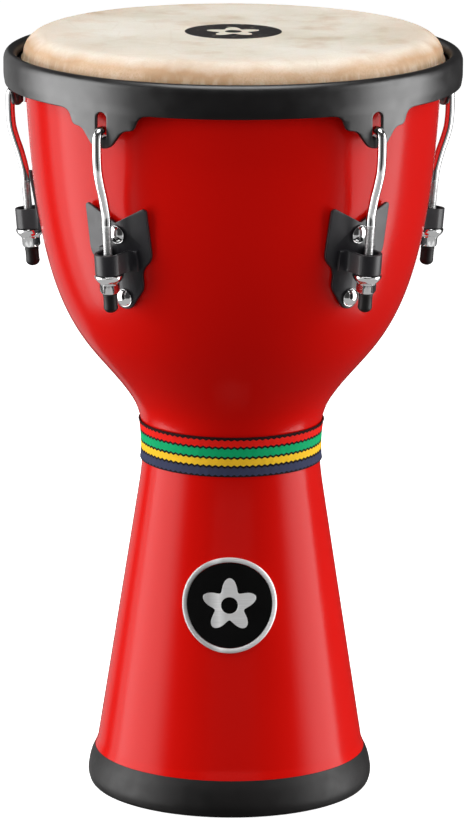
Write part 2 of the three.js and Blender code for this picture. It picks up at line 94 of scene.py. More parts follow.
STEM_FOOT = (87.75, 5)
STEM_TOP = (58.37, 193)
WAIST_CURVE = (STEM_TOP, (54.94, 215), (53.83, 238), (62.93, 252))
BOWL_CURVE = (WAIST_CURVE[-1], (88.7, 291.7), (120.95, 290.2), (128.96, 446))
BOWL_SHOULDER = (129.2, 469)
BEARING_EDGE = (116, 481.6)
LIP_WIDTH = 1.2
LIP_FOOT = 474
CHAMBER = (460, 246)  # heights between which the bowl's wall is even
WALL = 5.5
JOINT_HEIGHT = node_box("bowl")[0].z
SPIGOT_HEIGHT = 12
SPIGOT_WALL = 2.6
SOCKET_STEP = 2
BORE_STEP = (205, 185)  # heights between which the stem's wall thickens downward
FLARE = 0.9
FLARE_TOP = 29
LINING_DEPTH = 2  # below the outer face, from where the shell's inner finish starts

HEAD_HEIGHT = node_box("head_skin")[1].z
HEAD_FLAT_RADIUS = 116
SKIN_RADIUS = 130.6
SKIN_THICKNESS = 0.9
SKIN_SHOULDER_HEIGHT = 469
SKIN_COLLAR = ((131, 468.2), (131.7, 467.2), (131.8, 466), (131.3, 465), (131.3, 463), (132, 459))
SKIN_LAP = (190, 385)  # degrees round the hoop's bar
FACE_SAG = 0.1
SAG_EDGE = (96, 118)  # radii over which the sag dies out
COLLAR_TUCKS = ((0.22, 9, 40), (0.16, 26, 30))  # depth, closeness round the drum, height
SKIN_SLACK = 0.25
COLLAR_SPAN = (466, 480)
HEM_SPAN = (462, 466)
CREAM_FADE = (88, 125)  # radii over which the face turns to the edge's colour
TAN_FADE = (482.5, 476.5)  # heights over which the next three come in
SPECKLE_FADE = (480, 473)
STREAK_FADE = (476, 469)
PRINT_RADIUS = 30.3
HOOP_RADIUS = 135.4
HOOP_BAR_RADIUS = 2.4
HOOP_HEIGHT = 458.4

RIM_OUTER_RADIUS = node_box("tension_rim")[1].x
RIM_TOP = node_box("tension_rim")[1].z
RIM_BOTTOM = 451.4
RIM_SHEET = 2.4
RIM_BEVEL = 0.7
RIM_CURL = 3.0
RIM_SHOULDER = 4.6
RIM_CURL_LENGTH = math.pi * (RIM_CURL + RIM_SHOULDER) / 2
RIM_CURL_LIP = 0.6
RIM_NECK = 457
RIM_TUCK = 0.9
LEDGE_RADII = (133.4, 139.8)
LEDGE_HEIGHTS = (461.2, 463.8)
LEDGE_CHAMFER = 0.6
EAR_TIP = node_box("tension_rim")[0].z
EAR_ROOT = 33
EAR_BENDS = (  # sideways and height: the controls of each bend, from root to tip
    ((31, 451.2), (26.8, 451), (24.8, 447.6)),
    ((23.6, 444.8), (22.8, 441.8), (19, 441.6)),
    ((19, 441.6), (14.8, 441.4), (12.4, 437.6)),
    ((8.4, 432.6), (5.6, EAR_TIP), (0, EAR_TIP)),
)
SLOT_WIDTH = 7.5
SLOT_BOTTOM = 436
SLOT_TOP = 451.5
SLOT_CORNER = 1.2

WIRE_RADIUS = 2.9
WIRE_STEPS = 28
HOOK_BEND_RADIUS = 5
HOOK_BEND_CENTRE = (141, 435.2)
HOOK_TIP_DROP = 3.4
HOOK_TIP_TAPER = (2.5, 0.5)  # length and depth
HOOK_DOGLEG = ((146, 430.5), (145.8, 423.5), (144.9, 415.5), (142.5, 407.4), (139.6, 399.3))
SHANK_TILT = math.radians(5.2)
SHANK_SEAT = (133.26, 351.5)
SHANK_TOP = 37  # this and the next two lie along the shank, from the seat
THREAD_TOP = 30
SHANK_END = -19.9
THREAD_PITCH = 1.0
THREAD_DEPTH = 0.35
THREAD_WEAR = 0.05

PLATE_THICKNESS = 2.2
PLATE_BEVEL = 0.45
PLATE_STANDOFF = 0.6
PLATE_MIDDLE = 356
PLATE_CORNERS = (  # sideways, height and corner radius, from the top notch to the tip
    (0, 381.8, 0.6), (20.2, 392.4, 1.6), (22.2, 391.2, 1.6), (22.6, 360, 5),
    (14.8, 353, 5), (14.2, 340.8, 3), (3.6, 326.6, 4),
)
PLATE_CREASE = 0.7  # half the width of the bend between the wings
WING_SWEEP = math.radians(5)
LOOP_RADIUS = 8.4
LOOP_STRAP = 2.1
LOOP_HEIGHT = 12.9
LOOP_MIDDLE = LOOP_RADIUS - LOOP_STRAP / 2
LOOP_SIDE = (  # out of the drum and sideways, from a foot's end to the round front
    (-11.2, 13.8), (-11.2, 11.4), (-10.9, 9.4), (-9.6, 8.0), (-7.2, LOOP_MIDDLE + 0.1), (-3, LOOP_MIDDLE),
)

NUT_FLANGE_RADIUS = 9
NUT_FLANGE_ROUND = 0.7
NUT_FLANGE_FOOT = -6.6
NUT_DISH = ((0, -1.3), (-0.5, -2.9), (-1.7, -4.5), (-2.8, -5.6), (-3.3, NUT_FLANGE_FOOT))  # from the rim
NUT_HEX_RADIUS = 6.1
NUT_HEX_TOP = -5.8
NUT_LENGTH = 12
CAP_RADIUS = 4.4
CAP_BORE = 3.2
CAP_LENGTH = 12.3
CAP_NOSE_HEIGHT = CAP_RADIUS * 0.8
CAP_WAIST = 0.15

SCREW_HEIGHTS = {"upper": 374.5, "lower": 334}
SCREW_HEAD_RADIUS = 5.8
SCREW_HEAD_HEIGHT = 3.2
SCREW_RADIUS = 1.9
SCREW_LENGTH = 17.5

BAND_BOTTOM = node_box("waist_band")[0].z
BAND_TOP = node_box("waist_band")[1].z
BAND_THICKNESS = 1.1
BAND_EDGE_THICKNESS = 0.6
BAND_HEM = 0.4
SELVEDGE = 0.25
SELVEDGE_SPAN = (1.6, 0.6)  # from the band's edge
BADGE_HEIGHT = 132.5
BADGE_RADIUS = 30
BADGE_PLATE = 1
BEZEL_WIDTH = 3
BEZEL_CROWN = (0.9, 0.8)  # height of its foot, and of the crown above that
EMBLEM_LEVELS = (0.95, 1.6)
EMBLEM_RADIUS = 17
EMBLEM_EYE = 5.2
EMBLEM_BEVEL = 0.2
PETAL_HOLLOW = 0.55  # reach between two petals, as a share of their tips'

FOOT_TOP = (86, 23.6)
FOOT_SOLE = (79, 86)  # inner and outer radius
FOOT_SIDE = (FOOT_TOP, (88.6, 17.5), (90.2, 8.6), (89.3, 3.2), (87.8, 0.8), (FOOT_SOLE[1], 0))
FOOT_GROOVE_TOP = 22.8
FOOT_COLLAR = 15
FOOT_ROUND = 0.8


# ------------------------------------------------------------------ drawing helpers

def lerp(a, b, t):
    return a + (b - a) * t


def smooth(low, high, value):
    t = min(max((value - low) / (high - low), 0), 1)
    return t * t * (3 - 2 * t)


def spread(low, high, steps):
    return [lerp(low, high, i / steps) for i in range(steps + 1)]


def bezier(controls, steps):
    """Points along a cubic curve with four control points."""
    points = []
    for t in spread(0, 1, steps):
        s = 1 - t
        weights = (s ** 3, 3 * s * s * t, 3 * s * t * t, t ** 3)
        points.append(tuple(sum(w * c[axis] for w, c in zip(weights, controls)) for axis in (0, 1)))
    return points


def spline(knots, steps):
    """Points along a Catmull-Rom curve through the knots, steps to each span."""
    ends = [knots[0], *knots, knots[-1]]
    points = [knots[0]]
    for a, b, c, d in zip(ends, ends[1:], ends[2:], ends[3:]):
        for t in spread(0, 1, steps)[1:]:
            points.append(tuple(
                0.5 * (2 * b[k] + (c[k] - a[k]) * t
                       + (2 * a[k] - 5 * b[k] + 4 * c[k] - d[k]) * t * t
                       + (3 * b[k] - a[k] - 3 * c[k] + d[k]) * t ** 3)
                for k in range(len(b))))
    return points


def arc(centre, radius, start, end, steps):
    """Points along an arc, angles in degrees; radius is a number or (width, height)."""
    width, height = radius if isinstance(radius, tuple) else (radius, radius)
    angles = [math.radians(a) for a in spread(start, end, steps)]
    return [(centre[0] + width * math.cos(a), centre[1] + height * math.sin(a)) for a in angles]


def rounded(outline, radius, steps=4):
    """The closed outline with its corners cut to arcs. radius is a number or one each."""
    radii = radius if isinstance(radius, (list, tuple)) else [radius] * len(outline)
    points = []
    for i, corner in enumerate(outline):
        here = Vector(corner)
        back = Vector(outline[i - 1]) - here
        ahead = Vector(outline[(i + 1) % len(outline)]) - here
        cut = min(radii[i], back.length * 0.45, ahead.length * 0.45)
        if cut < 0.01:
            points.append(tuple(here))
            continue
        start, end = here + back.normalized() * cut, here + ahead.normalized() * cut
        for t in spread(0, 1, steps):
            points.append(tuple(start * (1 - t) ** 2 + here * 2 * t * (1 - t) + end * t * t))
    return points


SHELL_OUTLINE = [STEM_FOOT, *bezier(WAIST_CURVE, 60), *bezier(BOWL_CURVE, 120)[1:], BOWL_SHOULDER]


def shell_radius(height):
    """Outer radius of the shell at a height."""
    for low, high in zip(SHELL_OUTLINE, SHELL_OUTLINE[1:]):
        if height <= high[1]:
            return lerp(low[0], high[0], (height - low[1]) / (high[1] - low[1]))
    return SHELL_OUTLINE[-1][0]


def shell_lean(height):
    """Lean of the shell's surface from vertical, positive where it opens upward."""
    return math.atan((shell_radius(height + 1) - shell_radius(height - 1)) / 2)


def off_shell(height, distance):
    lean = shell_lean(height)
    return (shell_radius(height) + distance * math.cos(lean), height - distance * math.sin(lean))


# ------------------------------------------------------------------ mesh helpers

def make_object(name, vertices, faces, *materials, sharp=40, material_of=None):
    """A smooth-shaded mesh from vertices in mm, with its faces turned outward."""
    mesh = bpy.data.meshes.new(name)
    mesh.from_pydata([tuple(c * MM for c in v) for v in vertices], [], faces)
    shape = bmesh.new()
    shape.from_mesh(mesh)
    bmesh.ops.recalc_face_normals(shape, faces=shape.faces)
    shape.to_mesh(mesh)
    shape.free()
    for material in materials:
        mesh.materials.append(material)
    if material_of:
        for polygon in mesh.polygons:
            polygon.material_index = material_of(polygon.center / MM)
    mesh.shade_smooth()
    mesh.set_sharp_from_angle(angle=math.radians(sharp))
    obj = bpy.data.objects.new(name, mesh)
    bpy.context.scene.collection.objects.link(obj)
    return obj


def turned(outline, steps=ROUND_STEPS, shift=None):
    """Vertices and faces of a solid of revolution about Z. The outline closes on itself
    unless it starts and ends on the axis. shift(radius, height, angle) may move a point."""
    vertices, rings, faces = [], [], []
    for radius, height in outline:
        if radius == 0:
            rings.append([len(vertices)] * steps)
            vertices.append((0, 0, height))
            continue
        rings.append(list(range(len(vertices), len(vertices) + steps)))
        for i in range(steps):
            angle = TAU * i / steps
            r, z = shift(radius, height, angle) if shift else (radius, height)
            vertices.append((r * math.cos(angle), r * math.sin(angle), z))
    open_ends = outline[0][0] == 0 and outline[-1][0] == 0
    pairs = list(zip(rings, rings[1:])) + ([] if open_ends else [(rings[-1], rings[0])])
    for a, b in pairs:
        for i in range(steps):
            j = (i + 1) % steps
            corners = (a[i], a[j], b[j], b[i])
            face = tuple(dict.fromkeys(corners))
            if len(face) > 2:
                faces.append(face)
    return vertices, faces


def swept(path, section, closed=False):
    """Vertices and faces of a section carried along a path of (place, across, up) frames,
    where section(i) gives the (across, up) points at step i. Ends are capped."""
    vertices, faces = [], []
    count = len(section(0))
    for i, (place, across, up) in enumerate(path):
        for a, b in section(i):
            vertices.append(tuple(place + across * a + up * b))
    spans = len(path) if closed else len(path) - 1
    for i in range(spans):
        here, there = i * count, ((i + 1) % len(path)) * count
        for k in range(count):
            m = (k + 1) % count
            faces.append((here + k, here + m, there + m, there + k))
    if not closed:
        faces.append(tuple(range(count)))
        faces.append(tuple(range((len(path) - 1) * count, len(path) * count)))
    return vertices, faces


def flat_plate(outline, holes, thickness, bevel, cuts=()):
    """Vertices and faces of a flat plate in X and Y with rounded edges and holes, sliced
    at the (axis, value) cuts so that it can be bent afterwards."""
    curve = bpy.data.curves.new("outline", "CURVE")
    curve.dimensions = "2D"
    curve.fill_mode = "BOTH"
    curve.extrude = thickness / 2 - bevel
    curve.bevel_depth = bevel
    curve.bevel_resolution = 2
    curve.offset = -bevel
    for points in (outline, *holes):
        line = curve.splines.new("POLY")
        line.points.add(len(points) - 1)
        line.use_cyclic_u = True
        for target, (x, y) in zip(line.points, points):
            target.co = (x, y, 0, 1)
    drawn = bpy.data.objects.new("outline", curve)
    bpy.context.scene.collection.objects.link(drawn)
    graph = bpy.context.evaluated_depsgraph_get()
    mesh = bpy.data.meshes.new_from_object(drawn.evaluated_get(graph))
    shape = bmesh.new()
    shape.from_mesh(mesh)
    bmesh.ops.remove_doubles(shape, verts=shape.verts, dist=0.01)
    for axis, value in cuts:
        normal = Vector((1, 0, 0)) if axis == "x" else Vector((0, 1, 0))
        parts = shape.verts[:] + shape.edges[:] + shape.faces[:]
        bmesh.ops.bisect_plane(shape, geom=parts, plane_co=normal * value, plane_no=normal, dist=0.001)
    bpy.data.objects.remove(drawn)
    bpy.data.curves.remove(curve)
    bpy.data.meshes.remove(mesh)
    return taken_from(shape)


def joined(vertices, faces):
    """The same faces with coinciding vertices made one and loose ones left out."""
    shape = bmesh.new()
    made = [shape.verts.new(v) for v in vertices]
    for face in faces:
        shape.faces.new([made[i] for i in face])
    bmesh.ops.delete(shape, geom=[v for v in shape.verts if not v.link_faces], context="VERTS")
    bmesh.ops.remove_doubles(shape, verts=shape.verts, dist=0.01)
    return taken_from(shape)


def taken_from(shape):
    """The vertices and faces of a bmesh, which is freed."""
    shape.verts.index_update()
    vertices = [tuple(v.co) for v in shape.verts]
    faces = [tuple(v.index for v in f.verts) for f in shape.faces]
    shape.free()
    return vertices, faces


def merged(*parts):
    """Several (vertices, faces) pairs as one."""
    vertices, faces = [], []
    for more_vertices, more_faces in parts:
        start = len(vertices)
        vertices += more_vertices
        faces += [tuple(i + start for i in f) for f in more_faces]
    return vertices, faces


def path_frames(path, plane, axes):
    """(place, across, up) frames for swept, along a path of (a, b) points. plane(a, b) puts
    a point or a step in space, and axes(along) gives the section's two axes there."""
    frames = []
    for i, point in enumerate(path):
        before, after = path[max(i - 1, 0)], path[min(i + 1, len(path) - 1)]
        along = plane(after[0] - before[0], after[1] - before[1]).normalized()
        frames.append((plane(*point), *axes(along)))
    return frames


def moved(part, place):
    vertices, faces = part
    return [place(v) for v in vertices], faces


def finished(name, part, node, body, *materials, **look):
    """A finished piece that stands for a CAD node and rides on a body."""
    obj = make_object(name, *part, *materials, **look)
    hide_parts(node)
    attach(obj, body)
    return obj


def lug_turn(index, size):
    """The rotation, as a matrix of a size, that takes +X to a lug."""
    return Matrix.Rotation(math.radians(FIRST_LUG_ANGLE + 360 / LUG_COUNT * index), size, "Z")


def lug_copies(name, obj, body):
    """One copy of a lug piece at each lug, riding on its body and standing for its node."""
    for index in range(LUG_COUNT):
        number = index + 1
        mesh = obj.data.copy()
        mesh.transform(lug_turn(index, 4))
        copy = bpy.data.objects.new(f"{name}_{number}_skin", mesh)
        bpy.context.scene.collection.objects.link(copy)
        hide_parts(f"{name}_{number}")
        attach(copy, body.format(number))
    bpy.data.objects.remove(obj)


# ------------------------------------------------------------------ material helpers

class Shader:
    """A Principled material with short calls for adding nodes to it."""

    def __init__(self, name, **sockets):
        self.material = bpy.data.materials.new(name)
        self.material.use_nodes = True
        self.tree = self.material.node_tree
        self.surface = self.tree.nodes["Principled BSDF"]
        self.place = self.node("ShaderNodeTexCoord").outputs["Object"]
        for socket, value in sockets.items():
            self.surface.inputs[socket.replace("_", " ")].default_value = value

    def node(self, kind, inputs=(), **settings):
        made = self.tree.nodes.new(kind)
        for key, value in settings.items():
            setattr(made, key, value)
        for key, value in dict(inputs).items():
            self.feed(made.inputs[key], value)
        return made

    def feed(self, socket, value):
        if isinstance(value, bpy.types.NodeSocket):
            self.tree.links.new(value, socket)
        else:
            socket.default_value = value

    def math(self, operation, *values):
        inputs = dict(enumerate(values))
        return self.node("ShaderNodeMath", inputs, operation=operation).outputs[0]

    def noise(self, scale, detail=3.0, roughness=0.5, place=None):
        names = ("Vector", "Scale", "Detail", "Roughness")
        inputs = dict(zip(names, (place or self.place, scale, detail, roughness)))
        return self.node("ShaderNodeTexNoise", inputs).outputs["Fac"]

    def stretched_noise(self, scales, detail, roughness=0.5):
        """A noise with its own scale along each axis."""
        place = self.node("ShaderNodeMapping", {"Vector": self.place, "Scale": scales}).outputs[0]
        return self.noise(1.0, detail, roughness, place)

    def cells(self, scale, **settings):
        inputs = {"Vector": self.place, "Scale": scale}
        return self.node("ShaderNodeTexVoronoi", inputs, **settings).outputs["Distance"]

    def ramp(self, value, *stops):
        """A colour ramp with (position, colour or grey) stops."""
        made = self.node("ShaderNodeValToRGB", {"Fac": value})
        elements = made.color_ramp.elements
        while len(elements) < len(stops):
            elements.new(0.5)
        for element, (position, colour) in zip(elements, stops):
            element.position = position
            element.color = colour if isinstance(colour, tuple) else (colour,) * 3 + (1,)
        return made.outputs["Color"]

    def range(self, value, low, high, to_low=0.0, to_high=1.0):
        names = ("Value", "From Min", "From Max", "To Min", "To Max")
        inputs = dict(zip(names, (value, low, high, to_low, to_high)))
        return self.node("ShaderNodeMapRange", inputs).outputs["Result"]

    def mix(self, factor, a, b, blend="MIX"):
        made = self.node("ShaderNodeMix", data_type="RGBA", blend_type=blend)
        self.feed(made.inputs[0], factor)
        self.feed(made.inputs[6], a)
        self.feed(made.inputs[7], b)
        return made.outputs[2]

    def axes(self):
        parts = self.node("ShaderNodeSeparateXYZ", {"Vector": self.place}).outputs
        return parts["X"], parts["Y"], parts["Z"]

    def bump(self, *layers):
        """Bump from (height, strength, distance in mm) layers, laid over each other."""
        below = None
        for height, strength, distance in layers:
            inputs = {"Height": height, "Strength": strength, "Distance": distance * MM}
            made = self.node("ShaderNodeBump", inputs)
            if below:
                self.feed(made.inputs["Normal"], below)
            below = made.outputs["Normal"]
        self.feed(self.surface.inputs["Normal"], below)

    def set(self, socket, value):
        self.feed(self.surface.inputs[socket], value)


def metres(pair):
    return [value * MM for value in pair]


def srgb(red, green, blue):
    """A colour given as sRGB 0-255, in the linear values that a socket takes."""
    def linear(value):
        value /= 255
        return value / 12.92 if value <= 0.04045 else ((value + 0.055) / 1.055) ** 2.4
    return linear(red), linear(green), linear(blue), 1.0


# ------------------------------------------------------------------ materials

def mottled(name, cloud, colours, haze, roughness, *grains, **sockets):
    """A material with a cloudy colour, a patchy roughness and fine bumps. cloud and haze
    are the settings of a noise, colours its ramp's stops, roughness what a range takes,
    and each grain is (noise settings, strength, distance in mm)."""
    shader = Shader(name, **sockets)
    shader.set("Base Color", shader.ramp(shader.noise(*cloud), *colours))
    shader.set("Roughness", shader.range(shader.noise(*haze), *roughness))
    shader.bump(*((shader.noise(*grain), strength, distance) for grain, strength, distance in grains))
    return shader.material


def steel_material():
    """Zinc-plated steel, slightly mottled."""
    shader = Shader("zinc_steel", Metallic=1.0)
    shader.set("Base Color", shader.ramp(shader.cells(260), (0.0, 0.4), (0.6, 0.56)))
    shader.set("Roughness", shader.range(shader.noise(300, 4), 0.3, 0.7, 0.3, 0.48))
    shader.bump((shader.noise(900, 2), 0.1, 0.1))
    return shader.material


def silver_material():
    """Brushed silver of the badge's raised metal: brushed side to side, with a painted highlight:
    a pale vertical flash and darker sides painted into the base colour across the badge."""
    shader = Shader("brushed_silver_painted_flash", Metallic=0.25)
    lines = shader.stretched_noise((60, 60, 2600), 3)
    x, _, z = shader.axes()
    across = shader.range(shader.math("ADD", x, shader.math("MULTIPLY", z, 0.05)), -0.032, 0.034)
    # painted highlight: these stops paint a pale vertical flash with darker sides into the base colour
    stops = ((0.0, 0.4), (0.35, 0.55), (0.44, 1.0), (0.5, 0.74), (0.8, 0.82), (1.0, 1.0))
    painted_flash = shader.ramp(across, *stops)
    brushed = shader.range(lines, 0.3, 0.7, 0.0, 0.22)
    shader.set("Base Color", shader.mix(brushed, painted_flash, srgb(120, 120, 122)))
    shader.set("Roughness", shader.range(lines, 0.3, 0.7, 0.3, 0.4))
    shader.bump((lines, 0.05, 0.1))
    return shader.material


def skin_material():
    """Goat skin: cream on the playing face, fading to a mottled tan over the edge, with
    hair pores, faint veins and a black print at the centre with a cream emblem."""
    shader = Shader("goat_skin", IOR=1.45, Subsurface_Weight=0.12, Subsurface_Scale=0.004)
    x, y, z = shader.axes()
    square = shader.math("ADD", shader.math("MULTIPLY", x, x), shader.math("MULTIPLY", y, y))
    radius = shader.math("SQRT", square)
    patches = shader.noise(15, 6, 0.62)
    grain = shader.noise(760, 2, 0.8)
    pores = shader.cells(900)

    face_stops = ((0.3, srgb(209, 200, 182)), (0.5, srgb(223, 215, 202)), (0.75, srgb(234, 228, 219)))
    edge_stops = ((0.3, srgb(219, 200, 181)), (0.75, srgb(236, 225, 212)))
    side_stops = ((0.3, srgb(168, 130, 93)), (0.5, srgb(192, 157, 124)), (0.7, srgb(217, 188, 160)))
    outward = shader.math("ADD", radius, shader.range(shader.noise(22, 5), 0.2, 0.8, -0.02, 0.02))
    hide = shader.mix(shader.range(outward, *metres(CREAM_FADE)),
                      shader.ramp(patches, *face_stops), shader.ramp(patches, *edge_stops))
    upward = shader.math("ADD", z, shader.range(shader.noise(40, 4), 0.2, 0.8, -0.004, 0.004))
    hide = shader.mix(shader.range(upward, *metres(TAN_FADE)), hide, shader.ramp(patches, *side_stops))

    lower = shader.range(z, *metres(SPECKLE_FADE), 0.14, 0.75)
    speckle = shader.math("MULTIPLY", lower, shader.range(grain, 0.42, 0.7))
    hide = shader.mix(speckle, hide, srgb(186, 150, 112))
    veins = shader.range(shader.cells(31, feature="DISTANCE_TO_EDGE"), 0.0, 0.03, 0.16, 0.0)
    hide = shader.mix(veins, hide, srgb(200, 180, 155))
    hide = shader.mix(shader.range(pores, 0.08, 0.22, 0.35, 0.0), hide, srgb(176, 150, 122))
    streaks = shader.range(shader.stretched_noise((200, 200, 24), 4, 0.6), 0.47, 0.66)
    low_streaks = shader.math("MULTIPLY", streaks, shader.range(z, *metres(STREAK_FADE), 0.0, 0.5))
    hide = shader.mix(low_streaks, hide, srgb(240, 228, 208))

    printed, emblem = print_masks(shader, x, y, radius)
    ink = shader.mix(emblem, srgb(34, 31, 31), srgb(214, 206, 190))
    worn = shader.math("MULTIPLY", printed, shader.range(shader.noise(260, 4), 0.25, 0.4, 0.8, 1.0))
    shader.set("Base Color", shader.mix(worn, hide, ink))
    shader.set("Roughness", shader.range(patches, 0.3, 0.7, 0.48, 0.62))
    shader.bump((patches, 0.12, 1.0), (pores, 0.12, 0.25), (grain, 0.15, 0.15))
    return shader.material


def print_masks(shader, x, y, radius):
    """Where the head's round print is, and where its five-petal emblem is within it."""
    printed = shader.range(radius, (PRINT_RADIUS - 0.25) * MM, PRINT_RADIUS * MM, 1.0, 0.0)
    angle = shader.math("ARCTAN2", x, y)
    lobe = shader.math("COSINE", shader.math("MULTIPLY", angle, float(LUG_COUNT)))
    reach = shader.range(lobe, -1.0, 1.0, PETAL_HOLLOW * EMBLEM_RADIUS * MM, EMBLEM_RADIUS * MM)
    over = shader.math("SUBTRACT", radius, reach)
    petals = shader.range(over, -EMBLEM_BEVEL * MM, EMBLEM_BEVEL * MM, 1.0, 0.0)
    eye = shader.range(radius, (EMBLEM_EYE - EMBLEM_BEVEL) * MM, (EMBLEM_EYE + EMBLEM_BEVEL) * MM)
    return printed, shader.math("MULTIPLY", petals, eye)


BAND_STRIPES = (  # where each ends, as a share of the band's width, and its colour
    (0.055, (52, 5, 9)), (0.275, (236, 24, 10)), (0.525, (0, 174, 110)),
    (0.745, (255, 204, 44)), (1.01, (58, 64, 92)),
)
BAND_LINE = 0.026
BAND_LAST_LINE = 0.985
BAND_TEETH = 92
BAND_TOOTH_HEIGHT = 0.02
RIBS_PER_TOOTH = 6
BAND_PICKS = 42


def band_material():
    """Woven ribbon: five stripes parted by black saw-toothed lines, with a ribbed weave whose hollows get
    painted shade.
    """
    shader = Shader("woven_ribbon", IOR=1.4, Specular_IOR_Level=0.15)
    x, y, z = shader.axes()
    turn = shader.math("MULTIPLY", shader.math("ARCTAN2", x, y), BAND_TEETH / TAU)
    down = shader.range(z, BAND_TOP * MM, BAND_BOTTOM * MM)
    tooth = shader.math("ABSOLUTE", shader.math("SUBTRACT", shader.math("FRACT", turn), 0.5))
    jag = shader.range(tooth, 0.0, 0.5, -BAND_TOOTH_HEIGHT, BAND_TOOTH_HEIGHT)
    ragged = shader.math("ADD", down, jag)
    colour = srgb(*BAND_STRIPES[0][1])
    for (edge, _), (_, next_colour) in zip(BAND_STRIPES, BAND_STRIPES[1:]):
        colour = shader.mix(shader.math("GREATER_THAN", ragged, edge), colour, srgb(*next_colour))
    for edge in [*(edge for edge, _ in BAND_STRIPES[:-1]), BAND_LAST_LINE]:
        away = shader.math("ABSOLUTE", shader.math("SUBTRACT", ragged, edge))
        colour = shader.mix(shader.math("LESS_THAN", away, BAND_LINE), colour, srgb(18, 15, 17))
    ribs = shader.math("SINE", shader.math("MULTIPLY", turn, TAU * RIBS_PER_TOOTH))
    picks = shader.math("SINE", shader.math("MULTIPLY", down, TAU * BAND_PICKS))
    weave = shader.math("MULTIPLY", ribs, picks)
    # painted shade: the stripe colours are darkened where the weave dips
    shade = shader.range(weave, -1.0, 1.0, 0.85, 1.0)
    grey = shader.node("ShaderNodeCombineColor", dict.fromkeys((0, 1, 2), shade)).outputs[0]
    lit = shader.mix(1.0, colour, grey, blend="MULTIPLY")
    fuzz = shader.noise(600, 4, 0.7)
    shader.set("Base Color", shader.mix(shader.range(fuzz, 0.4, 0.8, 0.0, 0.03), lit, srgb(150, 140, 130)))
    shader.set("Roughness", shader.range(fuzz, 0.3, 0.7, 0.6, 0.85))
    shader.bump((weave, 0.5, 0.25), (fuzz, 0.2, 0.1))
    return shader.material


def floor_material():
    shader = Shader("studio_floor", Roughness=0.9)
    shader.set("Base Color", shader.ramp(shader.noise(0.6, 2), (0.3, 0.9), (0.7, 0.93)))
    shader.set("Emission Color", (1, 1, 1, 1))
    shader.set("Emission Strength", FLOOR_GLOW)
    return shader.material


# ------------------------------------------------------------------ shell, foot and trim

def flared(point):
    """The stem spreads a little where it meets the foot ring."""
    radius, height = point
    return (radius + FLARE * (1 - smooth(FOOT_TOP[1], FLARE_TOP, height)), height)


def finish_side(centre):
    """Which of its two materials a shell's face takes: 0 outside, 1 inside."""
    return 0 if math.hypot(centre.x, centre.y) > shell_radius(centre.z) - LINING_DEPTH else 1


def make_bowl(skin, lining):
    outside = [(shell_radius(z), z) for z in spread(JOINT_HEIGHT, BOWL_CURVE[0][1], 8)]
    outside += bezier(BOWL_CURVE, 48)[1:]
    centre = (BEARING_EDGE[0], BOWL_SHOULDER[1])
    edge = arc(centre, (BOWL_SHOULDER[0] - centre[0], BEARING_EDGE[1] - centre[1]), 0, 90, 8)
    lip = arc((BEARING_EDGE[0], LIP_FOOT), (LIP_WIDTH, BEARING_EDGE[1] - LIP_FOOT), 90, 180, 6)[1:]
    inside = [off_shell(z, -WALL) for z in spread(*CHAMBER, 40)]
    top = JOINT_HEIGHT + SPIGOT_HEIGHT + GAP
    bore = shell_radius(JOINT_HEIGHT) - SPIGOT_WALL
    socket = [(bore - SOCKET_STEP, top), (bore, top), (bore, JOINT_HEIGHT)]
    part = turned([*outside, *edge, *lip, *inside, *socket])
    finished("bowl_shell", part, "bowl", "shell", skin, lining, material_of=finish_side)


def make_stem(skin, lining):
    seam = JOINT_HEIGHT - GAP
    top = JOINT_HEIGHT + SPIGOT_HEIGHT
    spigot = shell_radius(JOINT_HEIGHT) - SPIGOT_WALL - GAP
    bore = spigot - SPIGOT_WALL
    # rings lie closest at the flare and at the neck
    heights = [*spread(STEM_FOOT[1], FLARE_TOP + 2, 14), *spread(50, 190, 8), *spread(195, seam, 10)]
    outside = [flared((shell_radius(z), z)) for z in heights]
    neck = [(spigot, seam), (spigot, top), (bore, top), (bore, BORE_STEP[0])]
    inside = [off_shell(z, -WALL) for z in spread(BORE_STEP[1], STEM_FOOT[1], 8)]
    part = turned([*outside, *neck, *inside])
    finished("stem_shell", part, "stem", "shell", skin, lining, material_of=finish_side)


def make_foot(material):
    """The ring is grooved for the stem's foot, with a collar inside it and a rounded sole."""
    side = spline(FOOT_SIDE, 6)
    lip = [(FOOT_TOP[0] - 0.5, FOOT_TOP[1] + 0.1)]
    groove = [flared((shell_radius(z) + GAP, z)) for z in spread(FOOT_GROOVE_TOP, STEM_FOOT[1] + 1, 6)]
    floor = STEM_FOOT[1] - GAP
    leg = shell_radius(STEM_FOOT[1]) - WALL - 2 * GAP
    bore, top = FOOT_SOLE[0], FOOT_COLLAR
    collar = [(leg, floor), (leg - 1.4, top - 1), (leg - 1.8, top), (bore + 0.6, top)]
    sole = [(bore, top - 0.6), (bore, FOOT_ROUND), (bore + FOOT_ROUND, 0)]
    inner = [*lip, *groove, (groove[-1][0], floor), *collar, *sole]
    finished("foot_ring_skin", turned([*side, *reversed(inner)]), "foot_ring", "shell", material, sharp=50)


